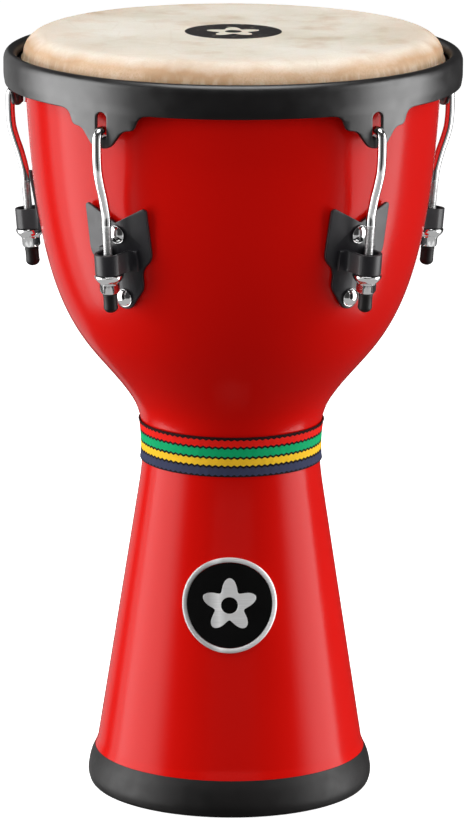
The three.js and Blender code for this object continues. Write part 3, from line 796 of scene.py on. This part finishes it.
def make_band(material):
    """The ribbon follows the waist, with thick selvedges and a faint ripple."""
    def ripple(radius, height, angle):
        spot = (3 * math.cos(angle), 3 * math.sin(angle), height / 9)
        lift = 0.06 * math.sin(60 * angle) + 0.12 * noise.noise(spot)
        return radius + max(lift, -0.15), height

    low, high = BAND_BOTTOM, BAND_TOP
    heights = spread(low + BAND_HEM, high - BAND_HEM, 30)
    outer = []
    for z in heights:
        selvedge = SELVEDGE * smooth(*SELVEDGE_SPAN, min(z - low, high - z))
        outer.append((shell_radius(z) + GAP + BAND_THICKNESS - SELVEDGE + selvedge, z))
    inner = [(shell_radius(z) + GAP, z) for z in reversed(heights)]
    top = [(shell_radius(high) + GAP + BAND_EDGE_THICKNESS, high)]
    bottom = [(shell_radius(low) + GAP + BAND_EDGE_THICKNESS, low)]
    part = turned([*outer, *top, *inner, *bottom], 480, ripple)
    obj = finished("waist_band_woven", part, "waist_band", "shell", material)
    girth = TAU * (shell_radius((low + high) / 2) + GAP + BAND_THICKNESS / 2)


def wrap_on_stem(point):
    """A point drawn on a flat disc (Z out) goes onto the front of the stem's cone."""
    x, y, z = point
    lean = shell_lean(BADGE_HEIGHT)
    height = BADGE_HEIGHT + y * math.cos(lean)
    radius = shell_radius(height)
    angle = math.radians(BADGE_ANGLE) + x / radius
    outer = radius + z * math.cos(lean)
    return outer * math.cos(angle), outer * math.sin(angle), height - z * math.sin(lean)


def make_badge(enamel, silver):
    """A round plate in a crowned bezel, with a raised emblem, all wrapped on the stem."""
    radii = spread(0, BADGE_RADIUS - BEZEL_WIDTH - GAP, 18)
    back = [(r, GAP) for r in radii]
    face = [(r, GAP + BADGE_PLATE) for r in reversed(radii)]
    foot, rise = BEZEL_CROWN
    crown = arc((BADGE_RADIUS - BEZEL_WIDTH / 2, GAP + foot), (BEZEL_WIDTH / 2, rise), 0, 180, 12)
    section = [(BADGE_RADIUS, GAP), *crown, (BADGE_RADIUS - BEZEL_WIDTH, GAP)]
    low, high = EMBLEM_LEVELS
    plate = moved(turned([*back, *face], 96), wrap_on_stem)
    bezel = moved(turned(section, 144), wrap_on_stem)
    petals = moved(petal_emblem(GAP + low, GAP + high), wrap_on_stem)
    finished("badge_plate_enamel", plate, "badge_plate", "shell", enamel)
    finished("badge_bezel_silver", bezel, "badge_bezel", "shell", silver)
    emblem = make_object("badge_emblem", *petals, silver)
    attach(emblem, "shell")


def petal_emblem(low, high):
    """A five-petalled ring with a round eye, with softened top edges."""
    steps, eye, bevel = 240, EMBLEM_EYE, EMBLEM_BEVEL
    angles = [TAU * i / steps for i in range(steps)]

    def section(i):
        bloom = (1 + math.cos(LUG_COUNT * (angles[i] - math.pi / 2))) / 2
        reach = EMBLEM_RADIUS * lerp(PETAL_HOLLOW, 1, bloom)
        top = [(r, high) for r in spread(eye + bevel, reach - bevel, 4)]
        return [(eye, low), (eye, high - bevel), *top, (reach, high - bevel), (reach, low)]

    centre, upward = Vector((0, 0, 0)), Vector((0, 0, 1))
    frames = [(centre, Vector((math.cos(a), math.sin(a), 0)), upward) for a in angles]
    return swept(frames, section, closed=True)


# ------------------------------------------------------------------ head

def make_skin(material):
    """The skin is flat on top, turns over the bearing edge, swells in a soft lip by the
    rim and is lapped under the flesh hoop, which draws its hem down with the rim."""
    centre = (HEAD_FLAT_RADIUS, SKIN_SHOULDER_HEIGHT)
    fall, drop = SKIN_RADIUS - centre[0], HEAD_HEIGHT - centre[1]
    outer = [(0, HEAD_HEIGHT), *[(r, HEAD_HEIGHT) for r in spread(4, centre[0] - 3, 40)]]
    outer += arc(centre, (fall, drop), 90, 0, 16)
    skirt = spline([(SKIN_RADIUS, SKIN_SHOULDER_HEIGHT), *SKIN_COLLAR], 4)[1:]
    lap = arc((HOOP_RADIUS, HOOP_HEIGHT), HOOP_BAR_RADIUS + SKIN_SLACK + SKIN_THICKNESS, *SKIN_LAP, 18)
    centreline = [*outer, *skirt, *lap]
    outline = centreline + thinner_side(centreline, SKIN_THICKNESS)

    def creased(radius, height, angle):
        """Faint dips on the face and upright tucks in the collar."""
        cos, sin = math.cos(angle), math.sin(angle)
        sag = FACE_SAG * (noise.noise(Vector((radius * cos, radius * sin, 0)) / 40) - 0.5)
        sag *= 1 - smooth(*SAG_EDGE, radius)
        tucks = sum(depth * noise.noise((close * cos, close * sin, height / tall))
                    for depth, close, tall in COLLAR_TUCKS)
        tucks *= (1 - smooth(*COLLAR_SPAN, height)) * smooth(*HEM_SPAN, height)
        return radius + tucks, height + sag

    obj = make_object("head_skin_hide", *turned(outline, 288, creased), material, sharp=60)
    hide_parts("head_skin")
    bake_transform(obj)


def thinner_side(outline, thickness):
    """The outline's other side, one thickness to its right, running back to the axis."""
    side = []
    for i, (r, z) in enumerate(outline):
        before = Vector(outline[max(i - 1, 0)])
        after = Vector(outline[min(i + 1, len(outline) - 1)])
        along = (after - before).normalized()
        side.append((max(r + along.y * thickness, 0), z - along.x * thickness))
    side[0] = (0, outline[0][1] - thickness)
    return list(reversed(side))


def make_hoop(material):
    part = turned(arc((HOOP_RADIUS, HOOP_HEIGHT), HOOP_BAR_RADIUS, 0, 345, 23))
    finished("flesh_hoop_bar", part, "flesh_hoop", "rim", material)


# ------------------------------------------------------------------ tension rim

def ear_edge():
    """One side of an ear's outline, from the rim's lower edge down to the tip, as
    (sideways, height) points: a fillet, a convex corner, a hollow and a round tip."""
    points = [(EAR_ROOT, RIM_BOTTOM)]
    for a, b, c in EAR_BENDS:
        for t in spread(0, 1, 8):
            point = tuple(Vector(a) * (1 - t) ** 2 + Vector(b) * 2 * t * (1 - t) + Vector(c) * t * t)
            if point != points[-1]:
                points.append(point)
    return points


def slot_outline():
    """A slot with a round top and two small round corners below."""
    half = SLOT_WIDTH / 2
    corner, low = half - SLOT_CORNER, SLOT_BOTTOM + SLOT_CORNER
    right = arc((corner, low), SLOT_CORNER, 0, -90, 4)
    left = arc((-corner, low), SLOT_CORNER, -90, -180, 4)
    return [*arc((0, SLOT_TOP - half), half, 180, 0, 12), *right, *left]


def rim_sheet_point(point):
    """A point drawn on the flat sheet (X round the drum, Y up the sheet, Z out of it)
    goes onto the rim: up the wall, over the curled top and down inside."""
    x, y, z = point
    wall = RIM_OUTER_RADIUS - RIM_SHEET / 2
    turn_start = RIM_TOP - RIM_SHOULDER - RIM_SHEET / 2
    if y <= turn_start:
        radius = wall - RIM_TUCK * (1 - smooth(RIM_BOTTOM - 1, RIM_NECK + 1, y)) + z
        height = y
    elif y <= turn_start + RIM_CURL_LENGTH:
        t = (y - turn_start) / RIM_CURL_LENGTH * math.pi
        radius = wall - RIM_CURL + (RIM_CURL + z) * math.cos(t)
        height = turn_start + (RIM_SHOULDER + z) * math.sin(t)
    else:
        radius = wall - 2 * RIM_CURL - z
        height = turn_start - (y - turn_start - RIM_CURL_LENGTH)
    angle = x / wall
    return radius * math.cos(angle), radius * math.sin(angle), height


def make_rim(material):
    """One sector of flat sheet with an ear is cut out, bent and repeated round the drum,
    and the ledge that presses on the flesh hoop is added inside."""
    wall = RIM_OUTER_RADIUS - RIM_SHEET / 2
    half = math.pi * wall / LUG_COUNT
    beyond = half + 4
    top = RIM_TOP - RIM_SHOULDER - RIM_SHEET / 2 + RIM_CURL_LENGTH + RIM_CURL_LIP
    edge = ear_edge()
    ear = [*[(-x, y) for x, y in edge], *edge[-2::-1]]
    outline = [(-beyond, top), (-beyond, RIM_BOTTOM), *ear, (beyond, RIM_BOTTOM), (beyond, top)]
    neck, curl = spread(RIM_BOTTOM - 2, RIM_NECK + 2, 6), spread(RIM_TOP - 6, top - 0.8, 16)
    cuts = [("x", x) for x in spread(-half, half, 36)] + [("y", y) for y in [*neck, *curl]]
    vertices, faces = flat_plate(outline, [slot_outline()], RIM_SHEET, RIM_BEVEL, cuts)
    kept = [f for f in faces if all(abs(vertices[i][0]) <= half + 0.002 for i in f)]
    bent = [Vector(rim_sheet_point(v)) for v in vertices]
    sectors = [([tuple(lug_turn(i, 3) @ v) for v in bent], kept) for i in range(LUG_COUNT)]
    sheet = joined(*merged(*sectors))
    (inner, root), (low, high), cut = LEDGE_RADII, LEDGE_HEIGHTS, LEDGE_CHAMFER
    ledge = [(inner, low + cut), (inner + cut, low), (root, low)]
    ledge += [(root, high), (inner + cut, high), (inner, high - cut)]
    both = merged(sheet, turned(rounded(ledge, 0.5, 3)))
    finished("tension_rim_steel", both, "tension_rim", "rim", material, sharp=50)


# ------------------------------------------------------------------ lug pieces

def along_shank(distance):
    sideways, upward = math.sin(SHANK_TILT), math.cos(SHANK_TILT)
    return SHANK_SEAT[0] + distance * sideways, SHANK_SEAT[1] + distance * upward


def on_shank(point):
    """A point drawn about the shank (Z along it, 0 at the nut's seat), on the lug."""
    x, y, z = point
    cos, sin = math.cos(SHANK_TILT), math.sin(SHANK_TILT)
    return x * cos + z * sin + SHANK_SEAT[0], y, z * cos - x * sin + SHANK_SEAT[1]


def make_hooks(chrome, thread):
    """A wire that hooks through the ear's slot, doglegs in to the shell and ends in a
    thread, whose rings follow each other at a fixed number to a pitch."""
    bend = arc(HOOK_BEND_CENTRE, HOOK_BEND_RADIUS, 180, 0, 24)
    tip = (bend[0][0], bend[0][1] - HOOK_TIP_DROP)
    taper, taper_depth = HOOK_TIP_TAPER
    straight = [along_shank(SHANK_TOP), along_shank(THREAD_TOP)]
    plain = [tip, (tip[0], tip[1] + taper), *bend]
    plain += spline([bend[-1], *HOOK_DOGLEG, *straight], 8)[1:]
    per_pitch = 8
    turns = int((THREAD_TOP - SHANK_END) / THREAD_PITCH)
    path = list(plain)
    for i in range(1, turns * per_pitch):
        path.append(along_shank(THREAD_TOP - THREAD_PITCH * i / per_pitch))

    def section(i):
        """A circle, tapered at the tip and cut by a running groove along the thread."""
        radius = WIRE_RADIUS
        if i < 2:
            radius -= taper_depth * (1 - i / 2)
        points = []
        for turn in spread(0, 1, WIRE_STEPS)[:-1]:
            cut = 0.0
            if i >= len(plain):
                since = i - len(plain)
                groove = 1 - abs(2 * ((since / per_pitch + turn) % 1) - 1)
                cut = THREAD_DEPTH * smooth(0, 2 * per_pitch, since) * groove + THREAD_WEAR
            points.append(((radius - cut) * math.cos(TAU * turn), (radius - cut) * math.sin(TAU * turn)))
        return points

    sideways = Vector((0, 1, 0))
    frames = path_frames(path, lambda r, z: Vector((r, 0, z)),
                         lambda along: (sideways, along.cross(sideways)))
    top = along_shank(THREAD_TOP)[1]
    obj = make_object("hook", *swept(frames, section), chrome, thread, sharp=70,
                      material_of=lambda centre: int(centre.z < top))
    lug_copies("hook", obj, "hook_{}")


def plate_outline():
    """The bracket's flat outline, drawn for one side and mirrored, with rounded corners."""
    half = [(x, y) for x, y, _ in PLATE_CORNERS]
    radii = [radius for _, _, radius in PLATE_CORNERS]
    return rounded(half + [(-x, y) for x, y in half[:0:-1]], radii + radii[:0:-1], 5)


def plate_point(point):
    """A point drawn on the flat plate (Z out, Y a height) goes onto the bent bracket:
    it leans with the bowl, and its two wings sweep back from the centre line."""
    x, y, z = point
    lean = shell_lean(PLATE_MIDDLE)
    base = shell_radius(PLATE_MIDDLE) + PLATE_STANDOFF + (y - PLATE_MIDDLE) * math.tan(lean)
    out = PLATE_THICKNESS / 2 + z - abs(x) * math.tan(WING_SWEEP)
    return base + out / math.cos(lean), x, y


def loop_strap():
    """A hat-section strap: round at the front, two feet lying along the plate."""
    front = arc((0, 0), LOOP_MIDDLE, -90, 90, 20)
    mirrored = [(x, -y) for x, y in LOOP_SIDE]
    path = spline([*mirrored, *front[1:-1], *reversed(LOOP_SIDE)], 3)
    half = LOOP_STRAP / 2
    profile = rounded([(-half, 0), (half, 0), (half, LOOP_HEIGHT), (-half, LOOP_HEIGHT)], 0.5, 3)
    upward = Vector((0, 0, 1))
    frames = path_frames(path, lambda x, y: Vector((x, y, 0)),
                         lambda along: (along.cross(upward), upward))
    return swept(frames, lambda i: profile)


def make_brackets(material):
    cuts = [("x", x) for x in (0.0, -PLATE_CREASE, PLATE_CREASE)]
    plate = moved(flat_plate(plate_outline(), [], PLATE_THICKNESS, PLATE_BEVEL, cuts), plate_point)
    strap = moved(loop_strap(), on_shank)
    obj = make_object("bracket", *merged(plate, strap), material, sharp=45)
    lug_copies("lug_bracket", obj, "shell")


def hex_radius(angle, corner_radius):
    """Distance from a hexagon's centre to its side, corners at corner_radius."""
    sixth = math.pi / 3
    return corner_radius * math.cos(sixth / 2) / math.cos((angle % sixth) - sixth / 2)


def hex_turned(outline, corner_radius):
    """A turned solid trimmed to a hexagon, so that its chamfers scallop the corners."""
    def trim(radius, height, angle):
        return min(radius, hex_radius(angle, corner_radius)), height
    return turned(outline, 120, trim)


def make_tuning_nuts(chrome):
    """A dished flange under the loop, and a chamfered hexagon below it."""
    rim, corner = NUT_FLANGE_RADIUS, NUT_HEX_RADIUS
    edge = arc((rim - NUT_FLANGE_ROUND, -GAP - NUT_FLANGE_ROUND), NUT_FLANGE_ROUND, 90, 0, 5)
    dish = spline([(rim + inward, z) for inward, z in NUT_DISH[:-1]], 5)
    foot = [(rim + NUT_DISH[-1][0], NUT_FLANGE_FOOT), (0, NUT_FLANGE_FOOT)]
    flange = turned([(0, -GAP), (rim - NUT_FLANGE_ROUND, -GAP), *edge, *dish, *foot], 120)
    top = [(0, NUT_HEX_TOP), (corner - 0.6, NUT_HEX_TOP), (corner, NUT_HEX_TOP - 0.6)]
    end = [(corner, -NUT_LENGTH + 0.8), (corner - 0.9, -NUT_LENGTH), (0, -NUT_LENGTH)]
    both = merged(flange, hex_turned([*top, *end], corner))
    obj = make_object("nut", *moved(both, on_shank), chrome, sharp=28)
    lug_copies("tuning_nut", obj, "tuning_nut_{}")


def make_caps(rubber):
    """A round-nosed cap with a bead at its mouth, bored for the thread's end."""
    mouth = -NUT_LENGTH - GAP
    end = mouth - CAP_LENGTH
    bore_end = SHANK_END - GAP
    waist = CAP_RADIUS - CAP_WAIST
    nose = arc((0, end + CAP_NOSE_HEIGHT), (CAP_RADIUS, CAP_NOSE_HEIGHT), 270, 360, 10)
    nose[0] = (0, end)
    bead = [(waist, mouth - 2.2), (CAP_RADIUS, mouth - 1.8), (CAP_RADIUS, mouth - 0.5)]
    bore = [(CAP_RADIUS - 0.5, mouth), (CAP_BORE, mouth), (CAP_BORE, bore_end), (0, bore_end)]
    part = turned([*nose, (waist, end + 5), *bead, *bore], 64)
    obj = make_object("cap", *moved(part, on_shank), rubber, sharp=60)
    lug_copies("thread_cap", obj, "hook_{}")


def screw_place(height):
    """A function that puts a point drawn about a screw (Z out of the drum, 0 at the
    plate's outer face) on the lug."""
    lean = shell_lean(PLATE_MIDDLE)
    cos, sin = math.cos(lean), math.sin(lean)
    base = shell_radius(PLATE_MIDDLE) + PLATE_STANDOFF + (height - PLATE_MIDDLE) * math.tan(lean)
    outer = base + PLATE_THICKNESS / cos

    def place(point):
        x, y, z = point
        return outer + z * cos + x * sin, y, height - z * sin + x * cos
    return place


def screw_head():
    """A plain domed head and its shank."""
    dome_radius = (SCREW_HEAD_RADIUS ** 2 + SCREW_HEAD_HEIGHT ** 2) / (2 * SCREW_HEAD_HEIGHT)
    top = GAP + SCREW_HEAD_HEIGHT
    dome = [(0, top)]
    for r in spread(0.6, SCREW_HEAD_RADIUS - 0.15, 20):
        dome.append((r, top - dome_radius + math.sqrt(dome_radius ** 2 - r * r)))
    edge = [(SCREW_HEAD_RADIUS, GAP + 0.5), (SCREW_HEAD_RADIUS, GAP + 0.15), (SCREW_HEAD_RADIUS - 0.2, GAP)]
    end = -SCREW_LENGTH
    shaft = [(SCREW_RADIUS, GAP), (SCREW_RADIUS, end + 0.4), (SCREW_RADIUS - 0.4, end), (0, end)]
    return turned([*dome, *edge, *shaft], 96)


def make_screws(chrome):
    for place, height in SCREW_HEIGHTS.items():
        obj = make_object("screw", *moved(screw_head(), screw_place(height)), chrome, sharp=50)
        lug_copies(f"lug_screw_{place}", obj, "shell")


def finish_inner_nuts(steel):
    """The nuts inside the bowl keep their CAD shape, with softened edges."""
    for number in range(1, LUG_COUNT + 1):
        for place in SCREW_HEIGHTS:
            node = frame["nodes"][f"screw_nut_{place}_{number}"]
            node.data.materials.clear()
            node.data.materials.append(steel)
            bevel = node.modifiers.new("edges", "BEVEL")
            bevel.width, bevel.segments = 0.25 * MM, 2


# ------------------------------------------------------------------ studio

CAMERA_DISTANCE = 3.2932
CAMERA_HEIGHT = 0.9935
CAMERA_AZIMUTH = math.radians(-2)
CAMERA_PITCH = 0.2245
CAMERA_ROLL = 0.0054
CAMERA_SIDESTEP = 0.00075
CAMERA_LENS = 234.8
SENSOR_WIDTH = 36
FLOOR_GLOW = 0.9
WORLD_STRENGTH = 0.05
SIDE_BOX_DISTANCE = 1.6  # metres from the drum's axis, as all places below are in metres
BOX_MIDDLE = 0.35
BOX_HEIGHT = 2.3
SIDE_RADIANCE = 4.5
LEFT_REAR_RADIANCE = 1.4
REAR_RADIANCE = 0.4
RIGHT_FILL_RADIANCE = 1.3
TOP_RADIANCE = 4.5
FILL_RADIANCE = 2.0
CARD_RADIANCE = 0.5
LEFT_FADE = (1.0, 0.6)  # the shares of a box's width where it is dark and full
RIGHT_FADE = (0.0, 0.55)


def make_camera():
    """The camera stands in front, a little left of the badge, looking down at the drum."""
    data = bpy.data.cameras.new("camera")
    data.lens = CAMERA_LENS
    data.sensor_width = SENSOR_WIDTH
    data.clip_end = 100
    camera = bpy.data.objects.new("camera", data)
    bpy.context.scene.collection.objects.link(camera)
    turn = Matrix.Rotation(CAMERA_AZIMUTH, 4, "Z")
    stand = Matrix.Translation((CAMERA_SIDESTEP, -CAMERA_DISTANCE, CAMERA_HEIGHT))
    look = Matrix.Rotation(math.pi / 2 - CAMERA_PITCH, 4, "X") @ Matrix.Rotation(CAMERA_ROLL, 4, "Z")
    camera.matrix_world = turn @ stand @ look
    bpy.context.scene.camera = camera


def make_area(name, place, target, size, radiance, seen_in_gloss=True, lit_only=None, fade=None):
    """A soft box facing its target, with its brightness given as radiance. It can be
    kept to one collection, and fade from dark to full between two shares of its width."""
    data = bpy.data.lights.new(name, "AREA")
    data.shape = "RECTANGLE"
    data.size, data.size_y = size
    data.energy = radiance * math.pi * size[0] * size[1]
    light = bpy.data.objects.new(name, data)
    light.location = place
    light.rotation_euler = (Vector(target) - Vector(place)).to_track_quat("-Z", "Y").to_euler()
    light.visible_glossy = seen_in_gloss
    bpy.context.scene.collection.objects.link(light)
    if lit_only:
        light.light_linking.receiver_collection = lit_only
    if fade:
        fade_light(data, *fade)


def fade_light(data, dark_at, full_at):
    """Fades a soft box across its width, by the place on its surface."""
    data.use_nodes = True
    nodes, links = data.node_tree.nodes, data.node_tree.links
    surface = nodes.new("ShaderNodeNewGeometry")
    parts = nodes.new("ShaderNodeSeparateXYZ")
    ramp = nodes.new("ShaderNodeMapRange")
    ramp.interpolation_type = "SMOOTHSTEP"
    ramp.inputs["From Min"].default_value = dark_at
    ramp.inputs["From Max"].default_value = full_at
    links.new(surface.outputs["Parametric"], parts.inputs["Vector"])
    links.new(parts.outputs["X"], ramp.inputs["Value"])
    links.new(ramp.outputs["Result"], nodes["Emission"].inputs["Strength"])


def make_side_box(name, side, along, width, radiance, fade=None):
    """A tall soft box at one side (-1 left, 1 right), facing straight across."""
    place = (side * SIDE_BOX_DISTANCE, along, BOX_MIDDLE)
    make_area(name, place, (0, along, BOX_MIDDLE), (width, BOX_HEIGHT), radiance, fade=fade)


def make_studio(bright_metal):
    """Tall soft boxes at both sides, one overhead, a weak fill in front, cards that only
    the bright metal sees, and a white floor that neither lights the drum nor shows in it."""
    make_side_box("left_box", -1, -0.245, 1.75, SIDE_RADIANCE, LEFT_FADE)
    make_side_box("left_rear_box", -1, 0.86, 0.46, LEFT_REAR_RADIANCE)
    make_side_box("right_box", 1, -0.32, 1.56, SIDE_RADIANCE, RIGHT_FADE)
    behind, beside, before = (-0.9, 1.7, BOX_MIDDLE), (1.4, 0.9, 0.4), (0, -2.2, 1.0)
    middle = (0, 0, BOX_MIDDLE)
    make_area("rear_box", behind, middle, (0.9, BOX_HEIGHT), REAR_RADIANCE)
    make_area("right_fill", beside, middle, (1.2, BOX_HEIGHT), RIGHT_FILL_RADIANCE, seen_in_gloss=False)
    make_area("top_box", (0, -0.3, 2.2), (0, 0, 0.45), (1.5, 1.3), TOP_RADIANCE)
    make_area("front_fill", before, (0, 0, 0.25), (2.0, 1.6), FILL_RADIANCE, seen_in_gloss=False)
    cards = {"radiance": CARD_RADIANCE, "lit_only": bright_metal}
    for side in (-1, 1):
        make_area("front_card", (1.35 * side, -1.6, 0.2), (0, 0, 0.3), (1.1, 2.2), **cards)
    make_area("floor_card", (0, -0.4, -0.3), (0, -0.4, 1), (3.0, 2.6), **cards)
    bpy.ops.mesh.primitive_circle_add(vertices=96, radius=30, fill_type="NGON", location=(0, 0, -0.0005))
    floor = bpy.context.object
    floor.name = "floor"
    floor.data.materials.append(floor_material())
    floor.visible_glossy = False
    floor.visible_diffuse = False
    floor.visible_shadow = False
    world = bpy.data.worlds.new("studio")
    world.use_nodes = True
    bpy.context.scene.world = world
    background = world.node_tree.nodes["Background"]
    background.inputs["Color"].default_value = (1, 1, 1, 1)
    background.inputs["Strength"].default_value = WORLD_STRENGTH
    bpy.context.scene.view_settings.view_transform = "Standard"


# ------------------------------------------------------------------ assembly

make_camera()
bright_metal = bpy.data.collections.new("bright_metal")
bpy.context.scene.collection.children.link(bright_metal)
make_studio(bright_metal)

# glossy red moulded plastic with a faint orange peel and handling haze
shell_red = mottled(
    "shell_red_gloss", (9, 2), ((0.1, srgb(196, 13, 7)), (0.9, srgb(206, 15, 8))),
    (26, 2), (0.1, 0.9, 0.16, 0.22), ((420, 2), 0.05, 0.3), IOR=1.5, Specular_IOR_Level=0.135)
# the unpolished inside of the same mouldings, with a sprayed texture
lining = mottled(
    "shell_red_inside", (18, 5), ((0.3, srgb(120, 12, 8)), (0.7, srgb(150, 18, 10))),
    (60, 4), (0.3, 0.7, 0.5, 0.7), ((900, 3), 0.3, 0.4), IOR=1.45)
# black moulded rubber, dusty in patches, with a fine matt grain
rubber = mottled(
    "black_rubber_grain", (14, 6, 0.6), ((0.35, srgb(22, 21, 21)), (0.75, srgb(34, 32, 32))),
    (120, 4), (0.3, 0.7, 0.42, 0.55), ((1500, 2), 0.25, 0.15), ((70, 2), 0.08, 0.6),
    IOR=1.45, Specular_IOR_Level=0.36)
# satin black powder coat: a fine pebbled film, rubbed a little in places
rim_black = mottled(
    "black_powder_coat", (35, 6, 0.65), ((0.35, srgb(11, 9, 10)), (0.8, srgb(20, 18, 19))),
    (90, 4), (0.3, 0.7, 0.3, 0.4), ((1100, 2), 0.12, 0.15), ((160, 2), 0.08, 0.3), IOR=1.75)
# matt black paint, thicker and rougher than the rim's
bracket_black = mottled(
    "black_bracket_paint", (60, 6, 0.65), ((0.35, srgb(30, 29, 32)), (0.8, srgb(42, 41, 45))),
    (90, 4), (0.3, 0.7, 0.36, 0.46), ((1300, 2), 0.12, 0.12), IOR=1.55)
# bright chrome plate with a faint polishing haze
chrome = mottled(
    "bright_chrome", (60, 3), ((0.3, 0.68), (0.7, 0.76)),
    (240, 5, 0.7), (0.35, 0.75, 0.1, 0.17), ((300, 2), 0.02, 0.2), Metallic=1.0)
# rolled steel thread: duller plate, with grease-dark specks in the roots
thread = mottled(
    "rolled_thread", (500, 5), ((0.3, 0.42), (0.7, 0.66)),
    (700, 4), (0.3, 0.7, 0.28, 0.45), ((1800, 2), 0.2, 0.1), Metallic=1.0)
# black gloss enamel
enamel = mottled(
    "black_enamel", (40, 3), ((0.3, 0.0015), (0.7, 0.003)),
    (200, 4), (0.3, 0.7, 0.1, 0.2), ((220, 2), 0.04, 0.2), IOR=1.5)
steel = steel_material()

make_bowl(shell_red, lining)
make_stem(shell_red, lining)
make_foot(rubber)
make_band(band_material())
make_badge(enamel, silver_material())
make_skin(skin_material())
make_hoop(steel)
make_rim(rim_black)
make_hooks(chrome, thread)
make_brackets(bracket_black)
make_tuning_nuts(chrome)
make_caps(rubber)
make_screws(chrome)
finish_inner_nuts(steel)
for obj in bpy.context.scene.objects:
    if obj.name.startswith(("hook", "tuning_nut", "lug_screw")):
        bright_metal.objects.link(obj)
